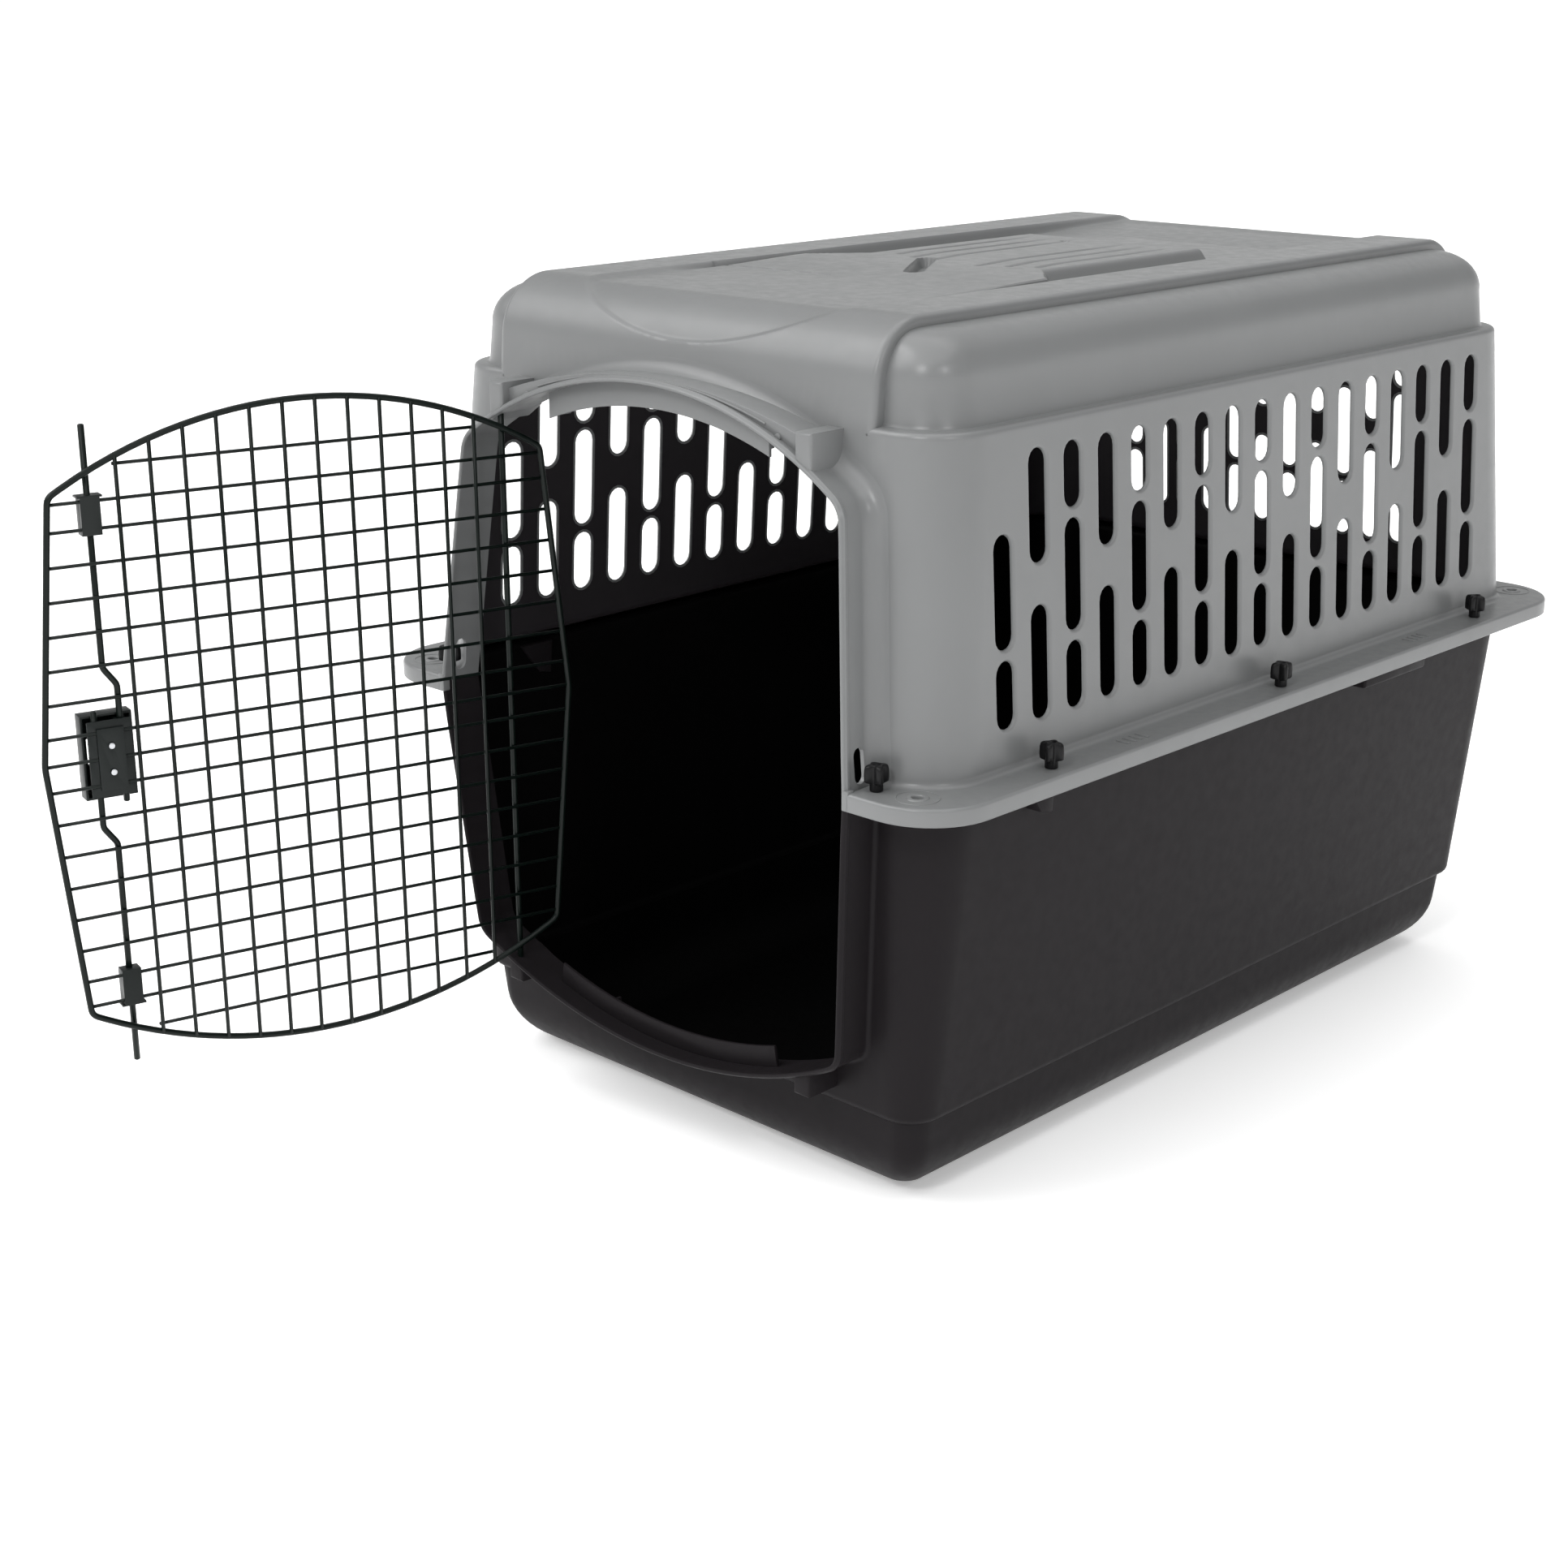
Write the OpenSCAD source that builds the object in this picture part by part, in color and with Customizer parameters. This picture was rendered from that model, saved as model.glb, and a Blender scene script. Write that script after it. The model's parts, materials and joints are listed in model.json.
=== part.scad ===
// Plastic pet transport carrier: two bolted shells and a reversible wire door.
// Frame: origin on the floor under the middle of the tub, X across, -Y towards the door, +Z up.

/* [Overall size] */
// Width across the flange
flange_w = 635; // [600:1:680]
// Length along the flange
flange_l = 918.8; // [880:0.1:960]
// Height of the roof
total_h = 684.2; // [670:0.1:700]
// Height of the flange's upper face
flange_z = 355.3; // [345:0.1:365]

/* [Shells] */
// Wall thickness of both shells
wall = 3; // [2.5:0.5:4]
// Thickness of each flange plate
flange_t = 4; // [3:0.5:5]
// Depth of the lip that hangs down round the upper flange
lip_h = 13.8; // [10:0.1:18]
// Corner radius of the flange in plan
flange_r = 56.4; // [40:0.1:70]
// Half width of the tub at the floor
tub_w = 247.8; // [235:0.1:260]
// Half length of the tub at the floor
tub_l = 402.6; // [390:0.1:410]
// Half width of the upper shell at the flange
cover_w = 283.3; // [278:0.1:285]
// Half length of the upper shell at the flange
cover_l = 424; // [420:0.1:428]
// Height of the ledge where the shoulders step in
ledge_z = 609; // [600:1:615]
// Depth of the step at the shoulders
ledge_d = 11.5; // [8:0.5:14]
// Height of the step low on the tub
step_z = 75; // [60:1:90]

/* [Door opening] */
// Half width of the opening at the flange
open_w = 226.5; // [225:0.5:229]
// Half width of the opening at its upper corners
open_top_w = 206.5; // [205:0.5:210]
// Half width of the opening at its lower corners
open_low_w = 207.5; // [206:0.5:210]
// Height of the opening's top
open_top = 621.5; // [618:0.5:624]
// Height of the opening's sill
open_low = 78; // [76:0.5:80]
// Wall thickness of the collar round the opening
collar_t = 3.5; // [2.5:0.5:4]

/* [Vents] */
// Number of slot columns in each side
side_columns = 17; // [9:2:17]
// Spacing of the side columns
side_pitch = 41.6; // [38:0.1:42]
// Number of slot columns in the back
back_columns = 11; // [5:2:11]
// Spacing of the back columns
back_pitch = 31.2; // [28:0.1:34]
// Width of each slot in the sides
slot_w = 20.5; // [14:0.5:22]
// Width of each slot in the back
back_slot_w = 17; // [12:0.5:18]

/* [Door] */
// Distance of the hinge rod and the latch rods from the middle
rod_x = 169; // [168:0.1:170]
// Distance of the hinge rod in front of the origin
rod_y = 434.3; // [433:0.1:436]
// Angle of the door as drawn, 0 when shut
door_angle = -104.6; // [-130:0.1:0]
// Radius of the frame wire
frame_r = 2.5; // [2:0.1:3]
// Radius of the hinge and latch rods
rod_r = 2.5; // [2:0.1:2.5]
// Radius of the upright wires
upright_r = 1.6; // [1.2:0.1:2]
// Radius of the cross wires
cross_r = 1.4; // [1:0.1:1.6]
// Spacing of the upright wires
upright_pitch = 26.32; // [24:0.01:27]
// Spacing of most cross wires
cross_pitch = 26.1; // [24:0.1:27]
// Spacing of the cross wires that hold the latch and the guides
cross_close = 21; // [18:0.1:24]

/* [Latch] */
// Travel of each latch rod
latch_travel = 26; // [20:1:26]
// Sideways offset of each rod inside the latch
latch_jog = 10; // [9:0.5:11]
// Width of the latch casing
case_w = 40; // [38:1:44]
// Height of the latch casing
case_h = 67; // [64:1:72]

/* [Fasteners] */
// Radius of each knob nut
knob_r = 10; // [8:0.5:11]
// Height of each knob nut
knob_h = 20; // [16:1:24]
// Radius of the bolts
bolt_r = 3; // [2.5:0.5:3]
// Radius of the corner tie holes
tie_r = 4.5; // [3:0.5:5]

/* [Hidden] */
$fn = 48;
hull_fn = 32;
joint_gap = 0.1;
part_z = flange_z - flange_t;
lip_z = flange_z - lip_h;
tub_slope_w = (cover_w - 0.8 - tub_w) / lip_z;
tub_slope_l = (cover_l - tub_l) / lip_z;
cover_slope_w = 0.06;
cover_slope_l = 0.0775;
corner_r = 50;
front_y = -flange_l / 2;
ear_x = open_w + collar_t;
step_d = 7;
foot_r = 48;
tub_r = 27.6;
foot_corner_r = 22;
shoulder_w = 205;
recess_z = total_h - 12.2;
vent_mid_y = -5.9;
vent_low_rows = [[387, 438.5], [446.5, 531.5]];
vent_rows = [concat(vent_low_rows, [[539.5, 589]]), [[387, 473], [504.5, 589]]];
spring_corner_z = 556;
sill_bow = 440;
arch_bow = 358.3;

knob_x = 300;
knob_side_y = [-309, -3, 315];
knob_end = [242.3, 438.9];
knob_places = concat(
    [for (s = [1, -1], y = knob_side_y) [s * knob_x, y]],
    [for (s = [1, -1], e = [-1, 1]) [s * knob_end[0], e * knob_end[1]]]);
tie_x = 275;
tie_y = 431;

frame_mid_w = 220.3;
frame_mid_z = 347.5;
frame_top_w = 199.9;
frame_top_z = 551.5;
frame_top_peak = 608.3;
frame_low_w = 202.5;
frame_low_z = 142.5;
frame_low_peak = 88.5;
frame_y = -rod_y + 2 * frame_r + 0.25;
upright_y = frame_y + 1.75;
cross_y = frame_y - 1.3;
upright_x0 = 148;
upright_count = 12;
rod_top = 600;
rod_low = 97;
latch_top = 603;
latch_low = 95;
block_top = 606;
block_low = 91;
latch_z = frame_mid_z;
jog_z = 66;
case_y = -rod_y - rod_r - 0.15;
case_d = 13;
slide_w = 9;
slide_h = 22;
spring_r = 3.6;
spring_wire = 0.6;
spring_turns = 7;
lane_end = case_h / 2 - 4;
screw_z = cross_close / 2;
cross_half = concat([0], [for (k = [0 : 6]) cross_close + k * cross_pitch],
    [2 * cross_close + 6 * cross_pitch, 2 * cross_close + 7 * cross_pitch]);

KNOBS = [for (i = [1 : len(knob_places)]) str("knob_nut_", i < 10 ? "0" : "", i)];

// ---- helpers ----

function sag_radius(half, sag) = (half * half + sag * sag) / (2 * sag);
frame_top_bow = sag_radius(frame_top_w, frame_top_peak - frame_top_z);
frame_low_bow = sag_radius(frame_low_w, frame_low_z - frame_low_peak);
function arc_z(x, r, peak, up) = peak - up * (r - sqrt(r * r - x * x));
function bow(half, r, peak, up, n) =
    [for (i = [0 : n]) let (x = half - 2 * half * i / n) [x, arc_z(x, r, peak, up)]];
function tub_half_w(z) = tub_w + tub_slope_w * z;
function tub_half_l(z) = tub_l + tub_slope_l * z;
function cover_half_w(z) = cover_w - cover_slope_w * (z - flange_z);
function cover_half_l(z) = cover_l - cover_slope_l * (z - flange_z);

// Outline drawn in X and Z, drawn out along Y
module along_y(y0, y1) {
    translate([0, y1, 0]) rotate([90, 0, 0]) linear_extrude(y1 - y0) children();
}

// Outline drawn in Y and Z, drawn out along X
module along_x(w) {
    translate([-w / 2, 0, 0]) rotate([90, 0, 90]) linear_extrude(w) children();
}

// Thin rounded rectangle used as one level of a hull
module level(w, l, r, z) {
    for (sx = [-1, 1], sy = [-1, 1])
        translate([sx * (w - r), sy * (l - r), z]) cylinder(h = 0.2, r = r, $fn = hull_fn);
}

// Rounded rectangle with true corner arcs
module rounded_plate(w, l, r, z, h) {
    translate([0, 0, z]) linear_extrude(h) {
        square([2 * (w - r), 2 * l], center = true);
        square([2 * w, 2 * (l - r)], center = true);
        for (sx = [-1, 1], sy = [-1, 1])
            translate([sx * (w - r), sy * (l - r)]) circle(r = r);
    }
}

// Straight round wire from p to q
module wire(p, q, r) {
    d = q - p;
    len_d = norm(d);
    translate(p) rotate([0, acos(d[2] / len_d), atan2(d[1], d[0])]) cylinder(h = len_d, r = r, $fn = 24);
}

// Wire along a list of points, with round elbows
module bent_wire(points, r) {
    for (i = [0 : len(points) - 2]) wire(points[i], points[i + 1], r);
    for (i = [1 : len(points) - 2]) translate(points[i]) sphere(r = r + 0.04, $fn = 24);
}

// Turns its children from the shut place to the open place
module on_door() {
    translate([-rod_x, -rod_y, 0]) rotate([0, 0, door_angle]) translate([rod_x, rod_y, 0]) children();
}

// Outline of the door opening, grown outwards by g
module opening_outline(g) {
    top_r = sag_radius(open_top_w + g, open_top - spring_corner_z);
    low_r = sill_bow;
    polygon(concat(
        [[open_w + g, frame_mid_z]],
        bow(open_top_w + g, top_r, open_top + g, 1, 24),
        [[-open_w - g, frame_mid_z]],
        [for (i = [0 : 24])
            let (x = -(open_low_w + g) + 2 * (open_low_w + g) * i / 24)
            [x, arc_z(x, low_r, open_low - g, -1)]]));
}

// Stadium-shaped slot hole from z0 to z1
module slot_2d(w, z0, z1) {
    translate([-w / 2, z0 + w / 2]) square([w, z1 - z0 - w]);
    translate([0, z0 + w / 2]) circle(d = w);
    translate([0, z1 - w / 2]) circle(d = w);
}

// One column of the vent pattern, from a list of [bottom, top] heights
module vent_column(rows, w) {
    for (r = rows) slot_2d(w, r[0], r[1]);
}

module side_vents() {
    first_y = vent_mid_y - side_pitch * (side_columns - 1) / 2;
    for (i = [0 : side_columns - 1])
        translate([0, first_y + i * side_pitch, 0])
            along_x(2 * cover_w + 20)
                vent_column(i == 0 ? vent_low_rows : vent_rows[i % 2], slot_w);
}

module back_vents() {
    for (i = [0 : back_columns - 1])
        translate([(i - (back_columns - 1) / 2) * back_pitch, 0, 0])
            along_y(cover_l - 40, cover_l + 10) vent_column(vent_rows[i % 2], back_slot_w);
}

// Bolt holes and corner tie holes through a flange
module flange_holes(z, h) {
    for (p = knob_places) translate([p[0], p[1], z]) cylinder(h = h, r = bolt_r + 0.5);
    for (sx = [-1, 1], sy = [-1, 1])
        translate([sx * tie_x, sy * tie_y, z]) cylinder(h = h, r = tie_r);
}

// Space taken out of a flange for the cabin and for the doorway
module flange_inside(w, l, r, z, h) {
    rounded_plate(w, l, r, z - 1, h + 2);
    translate([-ear_x + 1, front_y - 5, z - 1]) cube([2 * (ear_x - 1), 60, h + 2]);
}

// Socket block on the collar for a rod end, cut with a blind bore from its open side
module rod_block(sx, z0, z1, y0, y1) {
    translate([sx * rod_x - 7, y0, z0]) cube([14, y1 - y0, z1 - z0]);
}

// Pair of socket blocks' bores: a close fit for the hinge, room for the latch rod
module rod_bores(z0, z1) {
    translate([-rod_x, -rod_y, z0]) cylinder(h = z1 - z0, r = rod_r + 0.06);
    translate([rod_x, -rod_y, z0]) cylinder(h = z1 - z0, r = rod_r + 0.6);
}

// ---- shells ----

// Collar round the lower half of the opening, as a solid
module low_collar_solid() {
    intersection() {
        along_y(front_y, -350) opening_outline(collar_t);
        along_x(2 * cover_w) polygon([
            [front_y, part_z - joint_gap], [front_y, lip_z - 2], [-440.6, 60],
            [-tub_half_l(60) + wall, 60], [-tub_half_l(part_z) + wall, part_z - joint_gap]]);
    }
}

// Collar round the upper half of the opening, as a solid
module top_collar_solid() {
    intersection() {
        along_y(front_y, -350) opening_outline(collar_t);
        along_x(2 * cover_w) polygon([
            [front_y, part_z], [front_y, flange_z + 2], [-436.4, 640],
            [-cover_half_l(640) + wall, 640], [-cover_half_l(part_z) + wall, part_z]]);
    }
}

// Levels of the rounded foot, for a wall set in by gap from the outside
module foot_levels(gap) {
    r = foot_r - gap;
    for (a = [90, 64, 40, 18, 0])
        let (z = foot_r - r * sin(a), turn = r * (1 - cos(a)), g = step_d + gap + turn)
            level(tub_half_w(z) - g, tub_half_l(z) - g, max(foot_corner_r - gap - turn / 2, 9), z);
}

module tub_outside() {
    hull() {
        foot_levels(0);
        level(tub_half_w(step_z) - step_d, tub_half_l(step_z) - step_d, foot_corner_r, step_z);
    }
    hull() {
        level(tub_half_w(step_z), tub_half_l(step_z), tub_r, step_z);
        level(tub_half_w(part_z), tub_half_l(part_z), corner_r, part_z - joint_gap - 0.2);
    }
}

module tub_inside() {
    low_in = step_d + wall;
    low_top = step_z + wall + 3;
    hull() {
        foot_levels(wall);
        level(tub_half_w(step_z) - low_in, tub_half_l(step_z) - low_in, foot_corner_r - wall, low_top);
    }
    hull() {
        level(tub_half_w(step_z) - wall, tub_half_l(step_z) - wall, tub_r - wall, step_z + wall - 0.6);
        level(tub_half_w(part_z) - wall, tub_half_l(part_z) - wall, corner_r - wall, part_z + 1);
    }
}

// Raised stop along the sill, behind the shut door, with two ribs
module sill_stop() {
    low_r = sill_bow;
    stop_half = 128;
    intersection() {
        along_y(-424.4, -421.2) polygon(concat(
            [for (i = [0 : 16]) let (x = -stop_half + stop_half * i / 8) [x, arc_z(x, low_r, open_low - 1, -1)]],
            [for (i = [0 : 16]) let (x = stop_half - stop_half * i / 8) [x, arc_z(x, low_r, open_low + 17, -1)]]));
        translate([-stop_half, -430, open_low - 2]) cube([2 * stop_half, 12, 60]);
    }
    for (x = [-70, 70]) translate([x - 1.5, -421.3, arc_z(x, low_r, open_low - 1, -1)]) cube([3, 12, 13]);
}

// Short ledge under the flange that the fingers hook behind when the carrier is lifted
module lift_ledge(s) {
    translate([s * 292 - 14, 122, lip_z - 14]) cube([28, 100, part_z - joint_gap - lip_z + 10]);
    translate([s * 284 - 8, -318, lip_z - 14]) cube([16, 12, part_z - joint_gap - lip_z + 10]);
}

module tub_body() difference() {
    union() {
        tub_outside();
        low_collar_solid();
        difference() {
            rounded_plate(flange_w / 2 - 4, flange_l / 2 - 4, flange_r - 4,
                part_z - joint_gap - flange_t, flange_t);
            flange_inside(cover_w - 12.4, cover_l - 10, corner_r - 8, part_z - joint_gap - flange_t, flange_t);
        }
        for (sx = [-1, 1]) {
            rod_block(sx, block_low, 118, -442.5, -378);
            lift_ledge(sx);
        }
    }
    tub_inside();
    along_y(front_y - 5, -360) opening_outline(0);
    rod_bores(latch_low - 1, 125);
    flange_holes(part_z - 12, 20);
}

// The stop has to stand inside the opening, so it is added after the cut
module bottom_shell() color([0.20, 0.19, 0.20]) {
    tub_body();
    sill_stop();
}

module cover_outside() {
    front_fillet = [[600, 0], [634, 0], [662, 8], [676, 20], [total_h - 0.2, 50]];
    shoulder = [[600, 0], [645, 2.5], [663, 10], [676, 30]];
    hull() {
        level(cover_half_w(part_z), cover_half_l(part_z), corner_r, part_z);
        level(cover_half_w(ledge_z), cover_half_l(ledge_z), corner_r, ledge_z);
    }
    hull() {
        for (f = shoulder)
            level(cover_half_w(ledge_z) - ledge_d - f[1], cover_half_l(ledge_z) - ledge_d - f[1],
                corner_r - 6, f[0]);
    }
    hull() {
        for (f = front_fillet)
            level(shoulder_w, cover_half_l(min(f[0], 634)) - f[1], 8, f[0]);
    }
}

module cover_inside() {
    hull() {
        level(cover_half_w(part_z) - wall, cover_half_l(part_z) - wall, corner_r - wall, part_z - 1);
        level(cover_half_w(600) - wall, cover_half_l(600) - wall, corner_r - wall, 600);
    }
    hull() {
        for (f = [[590, 0], [644, 2.5], [662, 12], [668, 26]])
            level(cover_half_w(ledge_z) - ledge_d - wall - f[1], cover_half_l(ledge_z) - ledge_d - wall - f[1],
                corner_r - 10, f[0]);
    }
    for (sx = [-1, 1])
        translate([sx * 178 - 22, -335, 660]) cube([44, 670, total_h - wall - 660]);
    translate([-95, -70, 660]) cube([190, 216, total_h - wall - 660]);
}

// Sunk panel in the roof, round the raised middle grip
module roof_recess() {
    difference() {
        union() {
            translate([-150, -300, recess_z]) cube([300, 640, 30]);
            translate([0, -300, recess_z]) scale([1, 0.62, 1]) cylinder(h = 30, r = 150, $fn = 64);
        }
        translate([-100, -75, recess_z - 1]) cube([200, 226, 32]);
    }
}

// Shallow curved finger grooves in the middle grip
module grip_grooves() {
    for (side = [-1, 1], i = [0 : 2])
        translate([side * 62 + (i - 1) * 26, -58, total_h - 1.2]) cube([6, 194, 3]);
}

// Stop that hangs inside the arch, behind the shut door, with a rib near each end
module arch_stop() {
    stop_half = 121.5;
    along_y(-424.3, -421.1) polygon(concat(
        [for (i = [0 : 16]) let (x = -stop_half + stop_half * i / 8) [x, arc_z(x, arch_bow, open_top + 1, 1)]],
        [for (i = [0 : 16]) let (x = stop_half - stop_half * i / 8) [x, arc_z(x, arch_bow, open_top - 20, 1)]]));
    for (x = [-112, 112]) translate([x - 1.5, -421.2, 584]) cube([3, 11, 30]);
}

// Crescent web between the collar and the front wall, above the arch
module crescent() {
    web_r = 520;
    along_y(-426, -398) polygon(concat(
        [for (i = [0 : 16]) let (x = -rod_x + rod_x * i / 8) [x, arc_z(x, web_r, 627, 1)]],
        [for (i = [0 : 16]) let (x = rod_x - rod_x * i / 8) [x, arc_z(x, arch_bow, open_top + 1, 1)]]));
}

module cover_body() difference() {
    union() {
        difference() {
            union() {
                cover_outside();
                difference() {
                    rounded_plate(flange_w / 2, flange_l / 2, flange_r, lip_z, lip_h);
                    rounded_plate(flange_w / 2 - wall, flange_l / 2 - wall, flange_r - wall,
                        lip_z - 1, part_z - lip_z + 1);
                    translate([-ear_x - 0.3, front_y - 5, lip_z - 1])
                        cube([2 * ear_x + 0.6, 60, part_z - lip_z + 1]);
                    translate([-ear_x + 1, front_y - 5, part_z - 1]) cube([2 * (ear_x - 1), 60, 40]);
                }
                for (sx = [-1, 1], sy = [-1, 1])
                    translate([sx * tie_x, sy * tie_y, flange_z - 1]) cylinder(h = 2, r = tie_r + 4);
            }
            cover_inside();
        }
        difference() {
            top_collar_solid();
            along_y(-395, -340) opening_outline(collar_t + 5);
        }
        crescent();
        for (sx = [-1, 1]) rod_block(sx, 580, block_top, -439, -398);
    }
    along_y(front_y - 5, -360) opening_outline(0);
    rod_bores(560, latch_top + 1);
    roof_recess();
    grip_grooves();
    side_vents();
    back_vents();
    flange_holes(part_z - 12, 24);
    for (sx = [-1, 1]) translate([sx * (open_w + 2) - 4, -446, 358]) cube([8, 4, 34]);
}

// The stop hangs inside the opening, so it is added after the cut
module top_shell() color([0.56, 0.57, 0.57]) {
    cover_body();
    intersection() {
        arch_stop();
        along_y(-430, -405) opening_outline(1);
    }
}

// ---- fasteners ----

module shell_bolts() color([0.55, 0.56, 0.58]) {
    head_z = part_z - joint_gap - flange_t;
    for (p = knob_places) translate([p[0], p[1], 0]) {
        translate([0, 0, head_z - 3.6]) cylinder(h = 3.5, r = 7);
        translate([0, 0, head_z - 0.2]) cylinder(h = flange_z + 16 - head_z, r = bolt_r);
    }
}

module knob_nut(i) color([0.10, 0.10, 0.11]) {
    p = knob_places[i];
    translate([p[0], p[1], flange_z + 0.15]) difference() {
        union() {
            cylinder(h = 6, r = 6.4);
            translate([0, 0, 4]) cylinder(h = knob_h - 4, r = 6.2);
            for (a = [0 : 90 : 270]) rotate([0, 0, a + 20]) {
                translate([0, -3.2, 5]) cube([knob_r - 3.2, 6.4, knob_h - 6]);
                translate([knob_r - 3.2, 0, 5]) cylinder(h = knob_h - 6, r = 3.2);
            }
        }
        translate([0, 0, -1]) cylinder(h = 18, r = bolt_r + 0.06);
    }
}

// ---- door ----

// Bowed end of the frame between two corners
module frame_bow(half, z_corner, z_peak) {
    up = z_peak > z_corner ? 1 : -1;
    r = sag_radius(half, abs(z_peak - z_corner));
    span = asin(half / r);
    translate([0, frame_y, z_peak - up * r])
        rotate([90, 0, 0])
            rotate([0, 0, (up > 0 ? 90 : 270) - span])
                rotate_extrude(angle = 2 * span, $fn = 96)
                    translate([r, 0]) circle(r = frame_r, $fn = 24);
}

module door_frame() color([0.07, 0.09, 0.08]) on_door() {
    for (s = [-1, 1]) {
        bent_wire([
            [s * frame_low_w, frame_y, frame_low_z],
            [s * frame_mid_w, frame_y, frame_mid_z],
            [s * frame_top_w, frame_y, frame_top_z]], frame_r);
        translate([s * frame_low_w, frame_y, frame_low_z]) sphere(r = frame_r + 0.04, $fn = 24);
        translate([s * frame_top_w, frame_y, frame_top_z]) sphere(r = frame_r + 0.04, $fn = 24);
    }
    frame_bow(frame_top_w, frame_top_z, frame_top_peak);
    frame_bow(frame_low_w, frame_low_z, frame_low_peak);
}

// Height of the frame's centre line at x, at the top and at the bottom
function frame_top_at(x) = arc_z(x, frame_top_bow, frame_top_peak, 1);
function frame_low_at(x) = arc_z(x, frame_low_bow, frame_low_peak, -1);
// Half width of the frame's centre line at height z
function frame_half(z) = z > frame_mid_z
    ? frame_mid_w + (frame_top_w - frame_mid_w) * (z - frame_mid_z) / (frame_top_z - frame_mid_z)
    : frame_mid_w + (frame_low_w - frame_mid_w) * (frame_mid_z - z) / (frame_mid_z - frame_low_z);

// Distance from the frame's centre line at which an upright wire ends
function upright_gap(x, r) = let (s = abs(x) / sqrt(r * r - x * x))
    frame_r * sqrt(1 + s * s) + upright_r * s + 0.1;

module door_upright_wires() color([0.07, 0.09, 0.08]) on_door() {
    for (i = [0 : upright_count - 1]) {
        x = upright_x0 - i * upright_pitch;
        wire([x, upright_y, frame_low_at(x) + upright_gap(x, frame_low_bow)],
             [x, upright_y, frame_top_at(x) - upright_gap(x, frame_top_bow)], upright_r);
    }
}

module cross_wire(z, half_left, half_right) {
    wire([-half_left, cross_y, z], [half_right, cross_y, z], cross_r);
}

module door_cross_wires() color([0.07, 0.09, 0.08]) on_door() {
    short_row = len(cross_half) - 1;
    for (k = [0 : short_row], s = k == 0 ? [1] : [1, -1]) {
        z = frame_mid_z + s * cross_half[k];
        reach = k == short_row ? upright_x0 + 2 : frame_half(z) - frame_r - 0.3;
        cross_wire(z, k == short_row ? reach - 6 : reach, reach);
    }
}

module hinge_rod() color([0.07, 0.09, 0.08]) on_door() {
    wire([-rod_x, -rod_y, rod_low], [-rod_x, -rod_y, rod_top], rod_r);
}

// ---- latch ----

module latch_rod(up) {
    x_in = rod_x - up * latch_jog;
    tip = up > 0 ? latch_top : latch_low;
    color([0.07, 0.09, 0.08]) on_door() bent_wire([
        [rod_x, -rod_y, tip],
        [rod_x, -rod_y, latch_z + up * jog_z],
        [x_in, -rod_y, latch_z + up * (jog_z - 4)],
        [x_in, -rod_y, latch_z - up * (case_h / 2 + 4)]], rod_r);
}

module latch_slider(up) {
    x_in = rod_x - up * latch_jog;
    z_mid = latch_z + up * (lane_end - slide_h / 2 - 0.2);
    color([0.12, 0.12, 0.13]) on_door() difference() {
        union() {
            translate([x_in - slide_w / 2, case_y - case_d + 2.4, z_mid - slide_h / 2])
                cube([slide_w, case_d + 2.4, slide_h]);
            translate([x_in - 3, case_y - case_d - 3, z_mid - 4]) cube([6, 8, 8]);
            translate([x_in - 8, case_y - case_d - 8, z_mid - 6]) cube([16, 6.5, 12]);
        }
        translate([x_in, -rod_y, z_mid - slide_h]) cylinder(h = 2 * slide_h, r = rod_r + 0.05);
    }
}

module latch_casing() color([0.13, 0.13, 0.14]) on_door() difference() {
    union() {
        difference() {
            translate([rod_x - case_w / 2, case_y - case_d, latch_z - case_h / 2]) cube([case_w, case_d, case_h]);
            translate([rod_x - case_w / 2 + 2, case_y - case_d + 2, latch_z - case_h / 2 + 2])
                cube([case_w - 4, case_d, case_h - 4]);
        }
        for (s = [-1, 1])
            translate([rod_x, case_y - case_d + 1, latch_z + s * screw_z])
                rotate([-90, 0, 0]) cylinder(h = case_d + 4.3, r = 3.4);
    }
    for (s = [-1, 1])
        translate([rod_x, case_y - case_d + 5, latch_z + s * screw_z]) rotate([-90, 0, 0]) cylinder(h = 30, r = 1.25);
    for (up = [-1, 1]) {
        z_mid = latch_z + up * (lane_end - slide_h / 2 - 0.2);
        z_low = min(z_mid, z_mid - up * latch_travel);
        translate([rod_x - up * latch_jog - 3.5, case_y - case_d - 1, z_low - 4.5])
            cube([7, 4, latch_travel + 9]);
    }
}

// Plate on the inner side of the door; the cross wires run through its grooves
module latch_cover() color([0.13, 0.14, 0.14]) on_door() difference() {
    panel_half = cross_close + 3.4;
    union() {
        translate([rod_x - 17, case_y + 5.3, latch_z - 30]) cube([34, 1.9, 60]);
        translate([rod_x - 10.5, case_y + 5.3, latch_z - panel_half]) cube([21, 4.2, 2 * panel_half]);
    }
    for (z = [-cross_close, 0, cross_close])
        translate([rod_x - 30, cross_y, latch_z + z]) rotate([0, 90, 0]) cylinder(h = 60, r = cross_r + 0.08);
    for (s = [-1, 1])
        translate([rod_x, case_y, latch_z + s * screw_z]) rotate([-90, 0, 0]) cylinder(h = 30, r = 1.6);
}

module latch_screws() color([0.6, 0.61, 0.63]) on_door() {
    for (s = [-1, 1]) translate([rod_x, 0, latch_z + s * screw_z]) {
        translate([0, case_y - case_d + 6, 0]) rotate([-90, 0, 0]) cylinder(h = case_d + 4, r = 1.2);
        translate([0, case_y + 9.6, 0]) rotate([-90, 0, 0]) cylinder(h = 1.2, r = 2.4);
    }
}

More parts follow.
